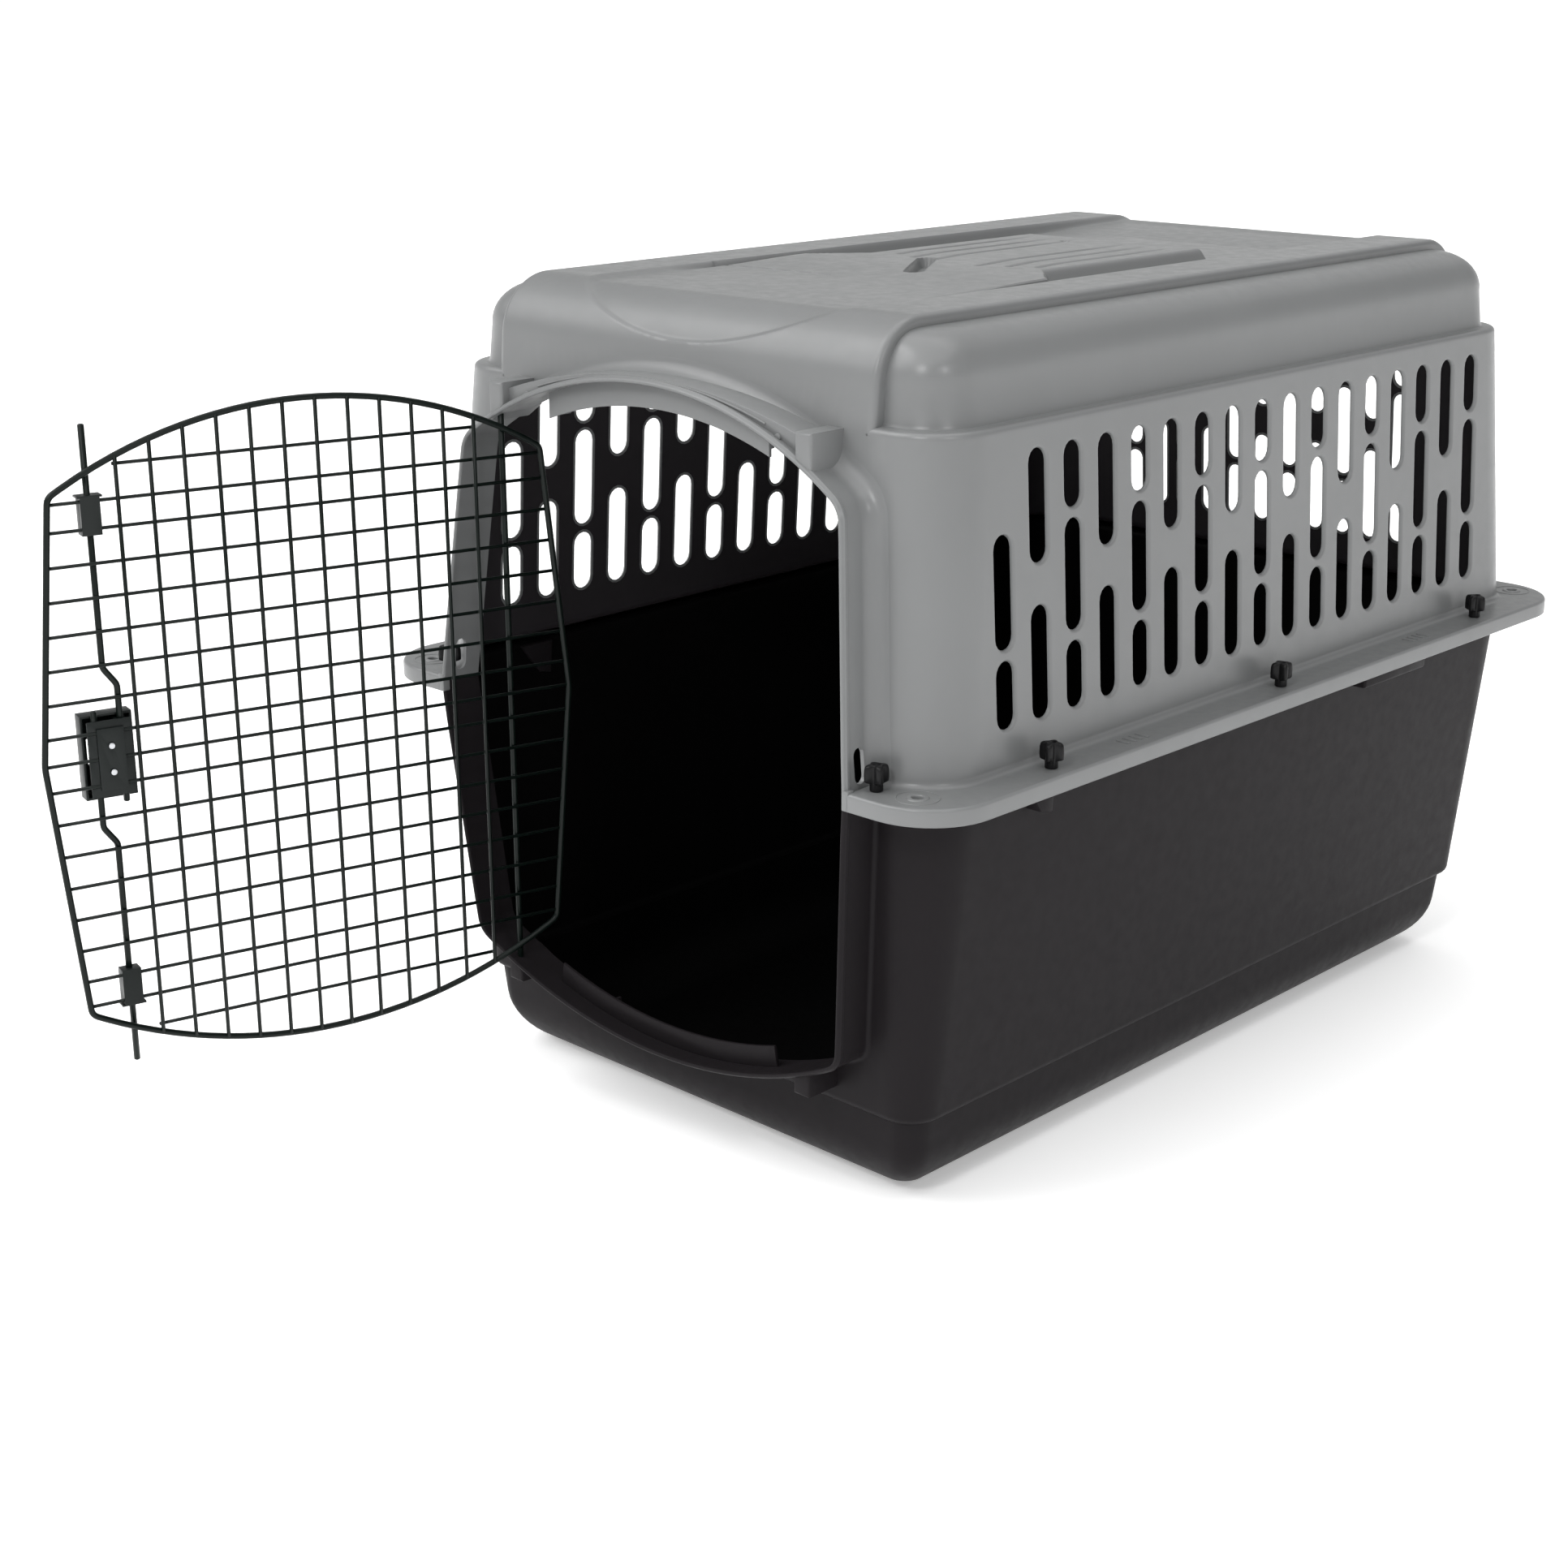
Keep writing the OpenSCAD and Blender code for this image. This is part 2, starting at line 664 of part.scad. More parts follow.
module latch_spring(up) {
    x_in = rod_x - up * latch_jog;
    z_wall = latch_z - up * (case_h / 2 - 2.1);
    z_slide = latch_z + up * (lane_end - slide_h - 0.3);
    z_low = min(z_wall, z_slide) + spring_wire;
    z_high = max(z_wall, z_slide) - spring_wire;
    steps = 12;
    sides = 8;
    count = spring_turns * steps;
    rings = [for (i = [0 : count]) let (a = 360 * i / steps, z = z_low + (z_high - z_low) * i / count)
        for (k = [0 : sides - 1]) let (b = 360 * k / sides)
            [(spring_r + spring_wire * cos(b)) * cos(a), (spring_r + spring_wire * cos(b)) * sin(a),
             z + spring_wire * sin(b)]];
    skin = [for (i = [0 : count - 1], k = [0 : sides - 1])
        [(i + 1) * sides + k, (i + 1) * sides + (k + 1) % sides, i * sides + (k + 1) % sides, i * sides + k]];
    ends = [[for (k = [0 : sides - 1]) k], [for (k = [sides - 1 : -1 : 0]) count * sides + k]];
    color([0.7, 0.71, 0.72]) on_door() translate([x_in, case_y - case_d + 7, 0])
        polyhedron(points = rings, faces = concat(skin, ends));
}

// Clip that snaps over two close cross wires and guides a latch rod
module rod_guide(up) {
    z_a = frame_mid_z + up * (cross_close + 6 * cross_pitch);
    z_b = frame_mid_z + up * (2 * cross_close + 6 * cross_pitch);
    z_low = min(z_a, z_b) - 4.5;
    height = abs(z_b - z_a) + 9;
    color([0.09, 0.10, 0.10]) on_door() difference() {
        union() {
            translate([rod_x - 7.5, -rod_y - 4.2, z_low]) cube([15, 11, height]);
            translate([rod_x - 9.5, -rod_y - 4.2, z_low + (up > 0 ? height - 1.5 : 0)]) cube([19, 11, 1.5]);
        }
        translate([rod_x, -rod_y, z_low - 1]) cylinder(h = height + 2, r = rod_r + 0.06);
        for (z = [z_a, z_b])
            translate([rod_x - 20, cross_y, z]) rotate([0, 90, 0]) cylinder(h = 40, r = cross_r + 0.05);
    }
}

bottom_shell();
top_shell();
shell_bolts();
for (i = [0 : len(KNOBS) - 1]) knob_nut(i);
door_frame();
door_upright_wires();
door_cross_wires();
hinge_rod();
latch_casing();
latch_cover();
latch_screws();
latch_rod(1);  // latch_rod_upper
latch_rod(-1);  // latch_rod_lower
latch_slider(1);  // latch_slider_upper
latch_slider(-1);  // latch_slider_lower
latch_spring(1);  // latch_spring_upper
latch_spring(-1);  // latch_spring_lower
rod_guide(1);  // rod_guide_upper
rod_guide(-1);  // rod_guide_lower
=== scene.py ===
"""Plastic pet transport carrier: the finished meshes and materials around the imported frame."""

import json
import math

import bmesh
import bpy
import numpy as np
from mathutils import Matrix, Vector
from mathutils.geometry import delaunay_2d_cdt


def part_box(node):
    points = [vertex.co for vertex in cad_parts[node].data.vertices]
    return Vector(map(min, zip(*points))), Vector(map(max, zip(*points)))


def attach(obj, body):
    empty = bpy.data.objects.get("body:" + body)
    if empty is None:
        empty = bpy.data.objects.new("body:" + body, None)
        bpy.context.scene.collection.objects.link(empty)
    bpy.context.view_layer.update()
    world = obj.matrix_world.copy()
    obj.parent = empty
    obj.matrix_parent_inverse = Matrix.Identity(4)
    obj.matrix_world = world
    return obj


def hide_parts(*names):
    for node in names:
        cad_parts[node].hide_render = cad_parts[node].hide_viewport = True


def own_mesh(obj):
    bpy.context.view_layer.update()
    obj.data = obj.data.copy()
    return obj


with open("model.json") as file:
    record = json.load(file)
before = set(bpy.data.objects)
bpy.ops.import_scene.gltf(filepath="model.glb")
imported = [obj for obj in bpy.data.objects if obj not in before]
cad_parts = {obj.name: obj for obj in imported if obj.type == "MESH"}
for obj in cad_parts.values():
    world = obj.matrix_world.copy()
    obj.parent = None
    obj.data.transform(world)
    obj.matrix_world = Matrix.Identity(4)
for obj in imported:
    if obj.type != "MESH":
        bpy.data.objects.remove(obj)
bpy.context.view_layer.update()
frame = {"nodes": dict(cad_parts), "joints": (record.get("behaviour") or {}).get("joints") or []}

MM = 0.001
WELD = 0.00002
JOINTS = {j["name"]: j for j in frame["joints"]}


def linked(name, data):
    """New object in the scene that holds the given data."""
    obj = bpy.data.objects.new(name, data)
    bpy.context.scene.collection.objects.link(obj)
    return obj


# ---------------------------------------------------------------- camera

def make_camera():
    """Camera at the height and bearing of the reference view, a little wide of the open door."""
    data = bpy.data.cameras.new("camera")
    data.sensor_width = 36.0
    data.lens = 57.24
    data.clip_end = 60.0
    obj = linked("camera", data)
    obj.location = (1.3761, -1.7163, 0.9187)
    down = math.radians(18.105)
    obj.rotation_euler = (math.pi / 2 - down, math.radians(0.1), math.radians(43.793))
    bpy.context.scene.camera = obj


make_camera()

# ---------------------------------------------------------------- sizes, in millimetres

COVER_LOW, COVER_HIGH = [tuple(c / MM for c in v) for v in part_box("top_shell")]
FLANGE_W = COVER_HIGH[0]
FLANGE_L = COVER_HIGH[1]
ROOF_Z = COVER_HIGH[2]
LIP_Z = COVER_LOW[2]
FLANGE_Z = LIP_Z + 13.8
PART_Z = FLANGE_Z - 4.0
TUB_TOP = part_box("bottom_shell")[1][2] / MM - 0.05
FLANGE_R = 56.4
WALL = 2.5
RIM = 2.5
SUPPORT = 3.0

COVER_W = 283.3
COVER_L = 424.0
COVER_R = 50.0
COVER_SLOPE_W = 0.06
COVER_SLOPE_L = 0.0775
LEDGE_Z = 609.0
LEDGE_IN = 11.5
CENTRE_W = 205.0
EDGE_R = 5.0
TOP_R = 50.0

TUB_W = 247.8
TUB_L = 402.6
TUB_R = 27.6
TUB_R_GAIN = 22.4
TUB_SLOPE_W = (COVER_W - 0.8 - TUB_W) / LIP_Z
TUB_SLOPE_L = (COVER_L - TUB_L) / LIP_Z
STEP_Z = 75.5
STEP_IN = 7.0
FOOT_R = 48.0
FOOT_CORNER = 22.0

OPEN_W = 226.5
OPEN_TOP_W = 206.5
OPEN_TOP_Z = 556.0
OPEN_PEAK = 621.5
OPEN_LOW_W = 207.5
OPEN_SILL = 78.0
SILL_BOW = 440.0
MID_Z = 347.5
COLLAR_T = 3.5
COLLAR_END = 60.0
ARCH_BOW = 358.3
STOP_W = 121.5
ARCH_STOP_Y = (-424.3, -421.1)
SILL_STOP_W = 128.0
SILL_STOP_Y = (-424.4, -421.2)
BLOCK_IN = 161
BLOCK_OUT = 177
NOTCH_Z = 358.0
NOTCH_H = 27.0
NOTCH_W = 11.0
NOTCH_Y = -441.3
CORNER_SOFT = 22.0


def cover_w(z):
    return COVER_W - COVER_SLOPE_W * (z - FLANGE_Z)


def cover_l(z):
    return COVER_L - COVER_SLOPE_L * (z - FLANGE_Z)


def tub_w(z):
    return TUB_W + TUB_SLOPE_W * z


def tub_l(z):
    return TUB_L + TUB_SLOPE_L * z


def tub_r(z):
    return TUB_R + TUB_R_GAIN * (z - STEP_Z) / (PART_Z - STEP_Z)


# ---------------------------------------------------------------- mesh kit

def steps(a, b, n):
    """n + 1 evenly spaced values from a to b."""
    return [a + (b - a) * i / n for i in range(n + 1)]


def smooth(t):
    t = np.clip(t, 0.0, 1.0)
    return t * t * (3.0 - 2.0 * t)


def quarter(n):
    """(1 - cos, sin) of the angles from 0 to 90 degrees."""
    return [(1.0 - math.cos(a), math.sin(a)) for a in steps(0.0, math.pi / 2, n)]


def fillet(before, corner, after, r, n=6):
    """Round stretch that takes the place of a corner in a flat outline."""
    c = np.array(corner, float)
    a = np.array(before, float) - c
    b = np.array(after, float) - c
    a /= np.linalg.norm(a)
    b /= np.linalg.norm(b)
    half = math.acos(np.clip(a @ b, -1, 1)) / 2
    middle = c + (a + b) / np.linalg.norm(a + b) * r / math.sin(half)
    start = c + a * r / math.tan(half) - middle
    end = c + b * r / math.tan(half) - middle
    turn = math.pi - 2 * half
    return [tuple(middle + (start * math.sin(turn - t) + end * math.sin(t)) / math.sin(turn))
            for t in steps(0.0, turn, n)]


def sag_radius(half, sag):
    return (half * half + sag * sag) / (2 * sag)


def arc_z(x, r, peak, up=1):
    return peak - up * (r - math.sqrt(r * r - x * x))


def bow(x0, x1, n, r, peak, up=1):
    """Points (x, z) of a shallow arc between two values of x."""
    return [(x, arc_z(x, r, peak, up)) for x in steps(x0, x1, n)]


def circle(x, y, r, n):
    return [(x + r * math.cos(a), y + r * math.sin(a)) for a in steps(0, 2 * math.pi, n)[:-1]]


class Skin:
    """Patches in millimetres, welded into one mesh when it is built."""

    def __init__(self):
        self.points = []
        self.faces = []

    def add(self, points, faces):
        start = len(self.points)
        self.points.extend(tuple(p) for p in points)
        self.faces.extend([start + i for i in f] for f in faces)

    def grid(self, rows, closed=False):
        n = len(rows[0])
        faces = []
        for j in range(len(rows) - 1):
            for i in range(n if closed else n - 1):
                k = (i + 1) % n
                faces.append((j * n + i, j * n + k, j * n + n + k, j * n + n + i))
        self.add([p for row in rows for p in row], faces)

    def cap(self, loop):
        self.add(loop, [range(len(loop))])

    def panel(self, outline, holes, place):
        """Flat patch with holes; place turns (u, v) into a point."""
        flat = [Vector(p) for p in outline]
        edges = [(i, (i + 1) % len(flat)) for i in range(len(flat))]
        for hole in holes:
            start = len(flat)
            flat.extend(Vector(p) for p in hole)
            edges.extend((start + i, start + (i + 1) % len(hole)) for i in range(len(hole)))
        points, _, faces, *_ = delaunay_2d_cdt(flat, edges, [], 1, 1e-4)
        loops = [np.array(outline)] + [np.array(h) for h in holes]
        kept = []
        for f in faces:
            u = sum(points[i].x for i in f) / len(f)
            v = sum(points[i].y for i in f) / len(f)
            if inside(u, v, loops[0]) and not any(inside(u, v, h) for h in loops[1:]):
                kept.append(f)
        self.add([place(p.x, p.y) for p in points], kept)

    def merge(self, bm):
        bm.verts.index_update()
        self.add([v.co for v in bm.verts], [[v.index for v in f.verts] for f in bm.faces])
        bm.free()

    def box(self, low, high, r=0.8, n=2):
        """Box with rounded edges."""
        bm = bmesh.new()
        bmesh.ops.create_cube(bm, size=1.0)
        for v in bm.verts:
            v.co = Vector([low[k] + (v.co[k] + 0.5) * (high[k] - low[k]) for k in range(3)])
        bmesh.ops.bevel(bm, geom=bm.edges[:], offset=r, segments=n, affect="EDGES", profile=0.5)
        self.merge(bm)

    def prism(self, outline, y0, y1, r=0.8, n=2):
        """Outline in x and z, drawn from y0 to y1, with rounded rims."""
        bm = bmesh.new()
        front = [bm.verts.new((x, y0, z)) for x, z in outline]
        back = [bm.verts.new((x, y1, z)) for x, z in outline]
        bm.faces.new(front)
        bm.faces.new(back[::-1])
        for i in range(len(outline)):
            k = (i + 1) % len(outline)
            bm.faces.new((front[k], front[i], back[i], back[k]))
        bmesh.ops.recalc_face_normals(bm, faces=bm.faces)
        rims = [e for e in bm.edges if abs(e.verts[0].co.y - e.verts[1].co.y) < 1e-6]
        bmesh.ops.bevel(bm, geom=rims, offset=r, segments=n, affect="EDGES", profile=0.5)
        self.merge(bm)


def prism_x(skin, outline, x0, x1, r=0.8):
    """Outline in y and z, drawn from x0 to x1, with rounded rims."""
    part = Skin()
    part.prism(outline, min(x0, x1), max(x0, x1), r=r, n=2)
    skin.add([(y, x, z) for x, y, z in part.points], part.faces)


def inside(u, v, loop):
    """Whether the point (u, v) is inside the outline."""
    a = loop
    b = np.roll(loop, -1, axis=0)
    crosses = (a[:, 1] > v) != (b[:, 1] > v)
    rise = np.where(crosses, b[:, 1] - a[:, 1], 1.0)
    at = a[:, 0] + (v - a[:, 1]) * (b[:, 0] - a[:, 0]) / rise
    return bool(np.count_nonzero(crosses & (u < at)) % 2)


def tube(skin, path, r, sides=12, closed=False):
    """Round wire along a path, with domed ends when it is open."""
    pts = np.array(path, float)
    n = len(pts)
    if closed:
        tangent = np.roll(pts, -1, axis=0) - np.roll(pts, 1, axis=0)
    else:
        tangent = np.gradient(pts, axis=0)
    tangent /= np.linalg.norm(tangent, axis=1)[:, None]
    side = np.cross(tangent[0], (0.3, 0.9, 0.1))
    rows = []
    for i in range(n):
        side = side - tangent[i] * (side @ tangent[i])
        side /= np.linalg.norm(side)
        up = np.cross(tangent[i], side)
        turn = [side * math.cos(a) + up * math.sin(a) for a in steps(0, 2 * math.pi, sides)[:-1]]
        if i == 0 and not closed:
            rows.append([pts[0] + d * r * 0.55 for d in turn])
            rows.append([pts[0] + tangent[0] * r * 0.3 + d * r for d in turn])
        elif i == n - 1 and not closed:
            rows.append([pts[i] - tangent[i] * r * 0.3 + d * r for d in turn])
            rows.append([pts[i] + d * r * 0.55 for d in turn])
        else:
            rows.append([pts[i] + d * r for d in turn])
    if closed:
        rows.append(rows[0])
    skin.grid(rows, closed=True)
    if not closed:
        skin.cap(rows[0])
        skin.cap(rows[-1])


def lathe(skin, centre, profile, sides=32):
    """Turned patch about an upright line; the profile holds (radius, height)."""
    skin.grid([at_z(circle(*centre, r, sides), z) for r, z in profile], closed=True)


def mesh_object(name, bm, materials, body, sharp=32):
    """Links a finished bmesh as a smooth-shaded piece that rides on a CAD body."""
    mesh = bpy.data.meshes.new(name)
    bm.to_mesh(mesh)
    bm.free()
    obj = linked(name, mesh)
    for m in materials:
        mesh.materials.append(m)
    mesh.shade_smooth()
    mesh.set_sharp_from_angle(angle=math.radians(sharp))
    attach(obj, body)
    return obj


def welded(skin):
    bm = bmesh.new()
    verts = [bm.verts.new(Vector(p) * MM) for p in skin.points]
    for f in skin.faces:
        if len(set(f)) > 2:
            bm.faces.new([verts[i] for i in f])
    bmesh.ops.remove_doubles(bm, verts=bm.verts[:], dist=WELD)
    bmesh.ops.recalc_face_normals(bm, faces=bm.faces[:])
    return bm


def thickened(bm, depth):
    """Gives an open skin its wall; the faces of the inner side get the second material, a darker copy of
    the plastic that paints the shade inside the shell.
    """
    obj = as_object(bm)
    wall = obj.modifiers.new("wall", "SOLIDIFY")
    wall.thickness = depth * MM
    wall.offset = -1.0
    wall.use_even_offset = True
    wall.thickness_clamp = 0.0
    wall.material_offset = 1
    wall.use_quality_normals = True
    bm = applied(obj)
    bmesh.ops.dissolve_degenerate(bm, dist=WELD / 2, edges=bm.edges[:])
    return bm


def as_object(bm, slots=2):
    mesh = bpy.data.meshes.new("skin")
    bm.to_mesh(mesh)
    bm.free()
    for _ in range(slots):
        mesh.materials.append(None)
    return linked("skin", mesh)


def applied(obj):
    """The object's mesh with its modifiers applied, as a bmesh; the object is removed."""
    graph = bpy.context.evaluated_depsgraph_get()
    solid = bpy.data.meshes.new_from_object(obj.evaluated_get(graph))
    bpy.data.objects.remove(obj)
    bm = bmesh.new()
    bm.from_mesh(solid)
    bpy.data.meshes.remove(solid)
    return bm


def cut(bm, tool):
    """bm less the closed shape tool."""
    obj = as_object(bm)
    cutter = as_object(tool)
    step = obj.modifiers.new("cut", "BOOLEAN")
    step.operation = "DIFFERENCE"
    step.solver = "EXACT"
    step.object = cutter
    result = applied(obj)
    bpy.data.objects.remove(cutter)
    return result


def joined(parts):
    """One bmesh from several."""
    whole = bmesh.new()
    for bm in parts:
        mesh = bpy.data.meshes.new("part")
        bm.to_mesh(mesh)
        bm.free()
        whole.from_mesh(mesh)
        bpy.data.meshes.remove(mesh)
    return whole


# ---------------------------------------------------------------- materials

def node_tree(name):
    mat = bpy.data.materials.new(name)
    mat.use_nodes = True
    tree = mat.node_tree
    return mat, tree, tree.nodes["Principled BSDF"]


def add(tree, kind, **values):
    node = tree.nodes.new(kind)
    for key, value in values.items():
        if hasattr(node, key):
            setattr(node, key, value)
        else:
            node.inputs[key.replace("_", " ")].default_value = value
    return node


def noise(tree, place, scale, detail=3.0, rough=0.55):
    node = add(tree, "ShaderNodeTexNoise", Scale=scale, Detail=detail, Roughness=rough)
    tree.links.new(place.outputs["Object"], node.inputs["Vector"])
    return node.outputs["Fac"]


def remap(tree, value, low, high, at=(0.3, 0.7)):
    node = add(tree, "ShaderNodeMapRange")
    node.inputs["From Min"].default_value = at[0]
    node.inputs["From Max"].default_value = at[1]
    node.inputs["To Min"].default_value = low
    node.inputs["To Max"].default_value = high
    tree.links.new(value, node.inputs["Value"])
    return node.outputs["Result"]


def blend_colour(tree, factor, a, b):
    node = add(tree, "ShaderNodeMix", data_type="RGBA")
    tree.links.new(factor, node.inputs["Factor"])
    for socket, value in ((node.inputs[6], a), (node.inputs[7], b)):
        if isinstance(value, tuple):
            socket.default_value = (*value, 1.0)
        else:
            tree.links.new(value, socket)
    return node.outputs[2]


def bump(tree, bsdf, layers):
    """Stacks bump layers, each (height socket, distance in metres)."""
    last = None
    for height, distance in layers:
        node = add(tree, "ShaderNodeBump")
        node.inputs["Strength"].default_value = 1.0
        node.inputs["Distance"].default_value = distance
        tree.links.new(height, node.inputs["Height"])
        if last:
            tree.links.new(last, node.inputs["Normal"])
        last = node.outputs["Normal"]
    tree.links.new(last, bsdf.inputs["Normal"])


def moulded(name, colour, rough, grain=0.00004, swirl=0.05, worn=0.25, gloss=0.5):
    """Moulded plastic: fine grain, faint flow marks and edges rubbed a little paler."""
    mat, tree, bsdf = node_tree(name)
    place = add(tree, "ShaderNodeTexCoord")
    flow = remap(tree, noise(tree, place, 5.0, 4.0), 0.0, 1.0)
    dark = tuple(c * (1 - swirl) for c in colour)
    pale = tuple(c * (1 + swirl) for c in colour)
    base = blend_colour(tree, flow, dark, pale)
    edge = add(tree, "ShaderNodeNewGeometry")
    rub = remap(tree, edge.outputs["Pointiness"], 0.0, worn, at=(0.52, 0.62))
    scuff = add(tree, "ShaderNodeMath", operation="MULTIPLY")
    tree.links.new(rub, scuff.inputs[0])
    tree.links.new(noise(tree, place, 60.0, 5.0), scuff.inputs[1])
    light = tuple(min(1.0, c * 1.5 + 0.01) for c in colour)
    base = blend_colour(tree, scuff.outputs[0], base, light)
    tree.links.new(base, bsdf.inputs["Base Color"])
    tree.links.new(remap(tree, noise(tree, place, 90.0, 4.0), rough - 0.05, rough + 0.05),
                   bsdf.inputs["Roughness"])
    bsdf.inputs["Specular IOR Level"].default_value = gloss
    bump(tree, bsdf, [(noise(tree, place, 1400.0, 2.0), grain),
                      (noise(tree, place, 9.0, 2.0), grain * 6)])
    return mat


def coated_wire(name, colour, rough):
    """Powder coat on wire: orange peel bump and faint dust."""
    mat, tree, bsdf = node_tree(name)
    place = add(tree, "ShaderNodeTexCoord")
    dust = remap(tree, noise(tree, place, 40.0, 4.0), 0.0, 0.35)
    pale = tuple(c * 1.6 + 0.001 for c in colour)
    tree.links.new(blend_colour(tree, dust, colour, pale), bsdf.inputs["Base Color"])
    tree.links.new(remap(tree, noise(tree, place, 160.0, 3.0), rough - 0.06, rough + 0.06),
                   bsdf.inputs["Roughness"])
    bsdf.inputs["Specular IOR Level"].default_value = 0.2
    bump(tree, bsdf, [(noise(tree, place, 900.0, 2.0), 0.00004)])
    return mat


def zinc(name):
    """Zinc plate: cool grey metal with faint patchy tone."""
    mat, tree, bsdf = node_tree(name)
    place = add(tree, "ShaderNodeTexCoord")
    tone = remap(tree, noise(tree, place, 300.0, 3.0), 0.0, 1.0)
    tree.links.new(blend_colour(tree, tone, (0.45, 0.46, 0.48), (0.62, 0.63, 0.65)),
                   bsdf.inputs["Base Color"])
    bsdf.inputs["Metallic"].default_value = 1.0
    tree.links.new(remap(tree, noise(tree, place, 500.0, 2.0), 0.28, 0.42), bsdf.inputs["Roughness"])
    bump(tree, bsdf, [(noise(tree, place, 1200.0, 2.0), 0.00003)])
    return mat


GREY = moulded("cover_plastic", (0.158, 0.162, 0.163), 0.33)
# Darker copy of the grey plastic for the cover's inner faces: painted shade inside the shell, not the
# plastic's own colour.
GREY_INSIDE_PAINTED_SHADE = moulded("cover_plastic_inside_painted_shade", (0.028, 0.025, 0.028), 0.6, worn=0.0, gloss=0.15)
CHARCOAL = moulded("tub_plastic", (0.0125, 0.0108, 0.0120), 0.44, gloss=0.07)
# Darker copy of the charcoal plastic for the tub's inner faces: painted shade inside the shell, not the
# plastic's own colour.
CHARCOAL_INSIDE_PAINTED_SHADE = moulded("tub_plastic_inside_painted_shade", (0.0025, 0.0024, 0.0025), 0.5, worn=0.0, gloss=0.06)
KNOB_BLACK = moulded("knob_plastic", (0.0045, 0.0045, 0.005), 0.36, worn=0.1, gloss=0.2)
LATCH_BLACK = moulded("latch_plastic", (0.006, 0.0085, 0.0080), 0.38, worn=0.12, gloss=0.22)
COAT = coated_wire("wire_coat", (0.0022, 0.0048, 0.0038), 0.34)
ZINC = zinc("zinc_steel")


# ---------------------------------------------------------------- shell outlines

def corner_run(w, l, r, front, n=12):
    """Right-hand corner of a rounded rectangle in plan, with a short straight at both ends."""
    s = -1 if front else 1
    arc = [(w - r + r * math.sin(a), s * (l - r + r * math.cos(a))) for a in steps(0, math.pi / 2, n)]
    run = [(w - r - SUPPORT, s * l)] + arc + [(w, s * (l - r - SUPPORT))]
    return run if front else run[::-1]


def mirrored(run):
    return [(-x, y) for x, y in reversed(run)]


def open_ring(w, l, r):
    """Plan outline from the right of the front, round the back, to the left of the front."""
    right = corner_run(w, l, r, True) + corner_run(w, l, r, False)
    return right + mirrored(right)


def at_z(run, z):
    return [(x, y, z) for x, y in run]


def stadium(c, z0, z1, w, grow, n=8):
    """Slot outline round the centre line c, grown outwards by grow."""
    r = w / 2
    reach = r + grow
    turns = steps(0, math.pi, n)
    top = [(c + reach * math.cos(a), z1 - r + reach * math.sin(a)) for a in turns]
    low = [(c - reach * math.cos(a), z0 + r - reach * math.sin(a)) for a in turns]
    return top + low


VENT_LOW = [(387.0, 438.5), (446.5, 531.5)]
VENT_ROWS = [VENT_LOW + [(539.5, 589.0)], [(387.0, 473.0), (504.5, 589.0)]]
SIDE_COLUMNS = 17
SIDE_PITCH = 41.6
SIDE_MIDDLE = -5.9
SIDE_SLOT = 20.5
BACK_COLUMNS = 11
BACK_PITCH = 31.2
BACK_SLOT = 17.0


def side_slots():
    first = SIDE_MIDDLE - SIDE_PITCH * (SIDE_COLUMNS - 1) / 2
    return [(first + i * SIDE_PITCH, z0, z1, SIDE_SLOT) for i in range(SIDE_COLUMNS)
            for z0, z1 in (VENT_LOW if i == 0 else VENT_ROWS[i % 2])]


def back_slots():
    return [((i - (BACK_COLUMNS - 1) / 2) * BACK_PITCH, z0, z1, BACK_SLOT)
            for i in range(BACK_COLUMNS) for z0, z1 in VENT_ROWS[i % 2]]


def slotted_panel(skin, outline, slots, place):
    """Flat wall whose slots have turned-in rims; place takes (u, v, depth)."""
    margin = RIM + 0.7
    skin.panel(outline, [stadium(*s, margin) for s in slots], lambda u, v: place(u, v, 0.0))
    for s in slots:
        rings = [(margin, 0.0)]
        rings += [(RIM - RIM * sin, RIM * gone) for gone, sin in quarter(5)]
        rings += [(0.0, RIM + 0.4)]
        skin.grid([[place(u, v, d) for u, v in stadium(*s, g)] for g, d in rings], closed=True)


def upper_doorway(g=0.0, start=PART_Z):
    """Right foot, over the arch, to the left foot of the doorway, grown outwards by g."""
    foot = OPEN_W + (OPEN_TOP_W - OPEN_W) * (start - MID_Z) / (OPEN_TOP_Z - MID_Z) + g
    r = sag_radius(OPEN_TOP_W + g, OPEN_PEAK - OPEN_TOP_Z)
    corner = (OPEN_TOP_W + g, OPEN_TOP_Z + g * 0.3)
    reach = CORNER_SOFT * math.tan(math.radians(24.6))
    arch = bow(OPEN_TOP_W + g - reach * 0.85, 0.0, 22, r, OPEN_PEAK + g)
    side = [(foot + (corner[0] - foot) * t, start + (corner[1] - start) * t) for t in steps(0, 0.9, 6)]
    right = side + fillet(side[0], corner, arch[0], CORNER_SOFT)[1:-1] + arch
    return right + [(-x, z) for x, z in reversed(right[:-1])]


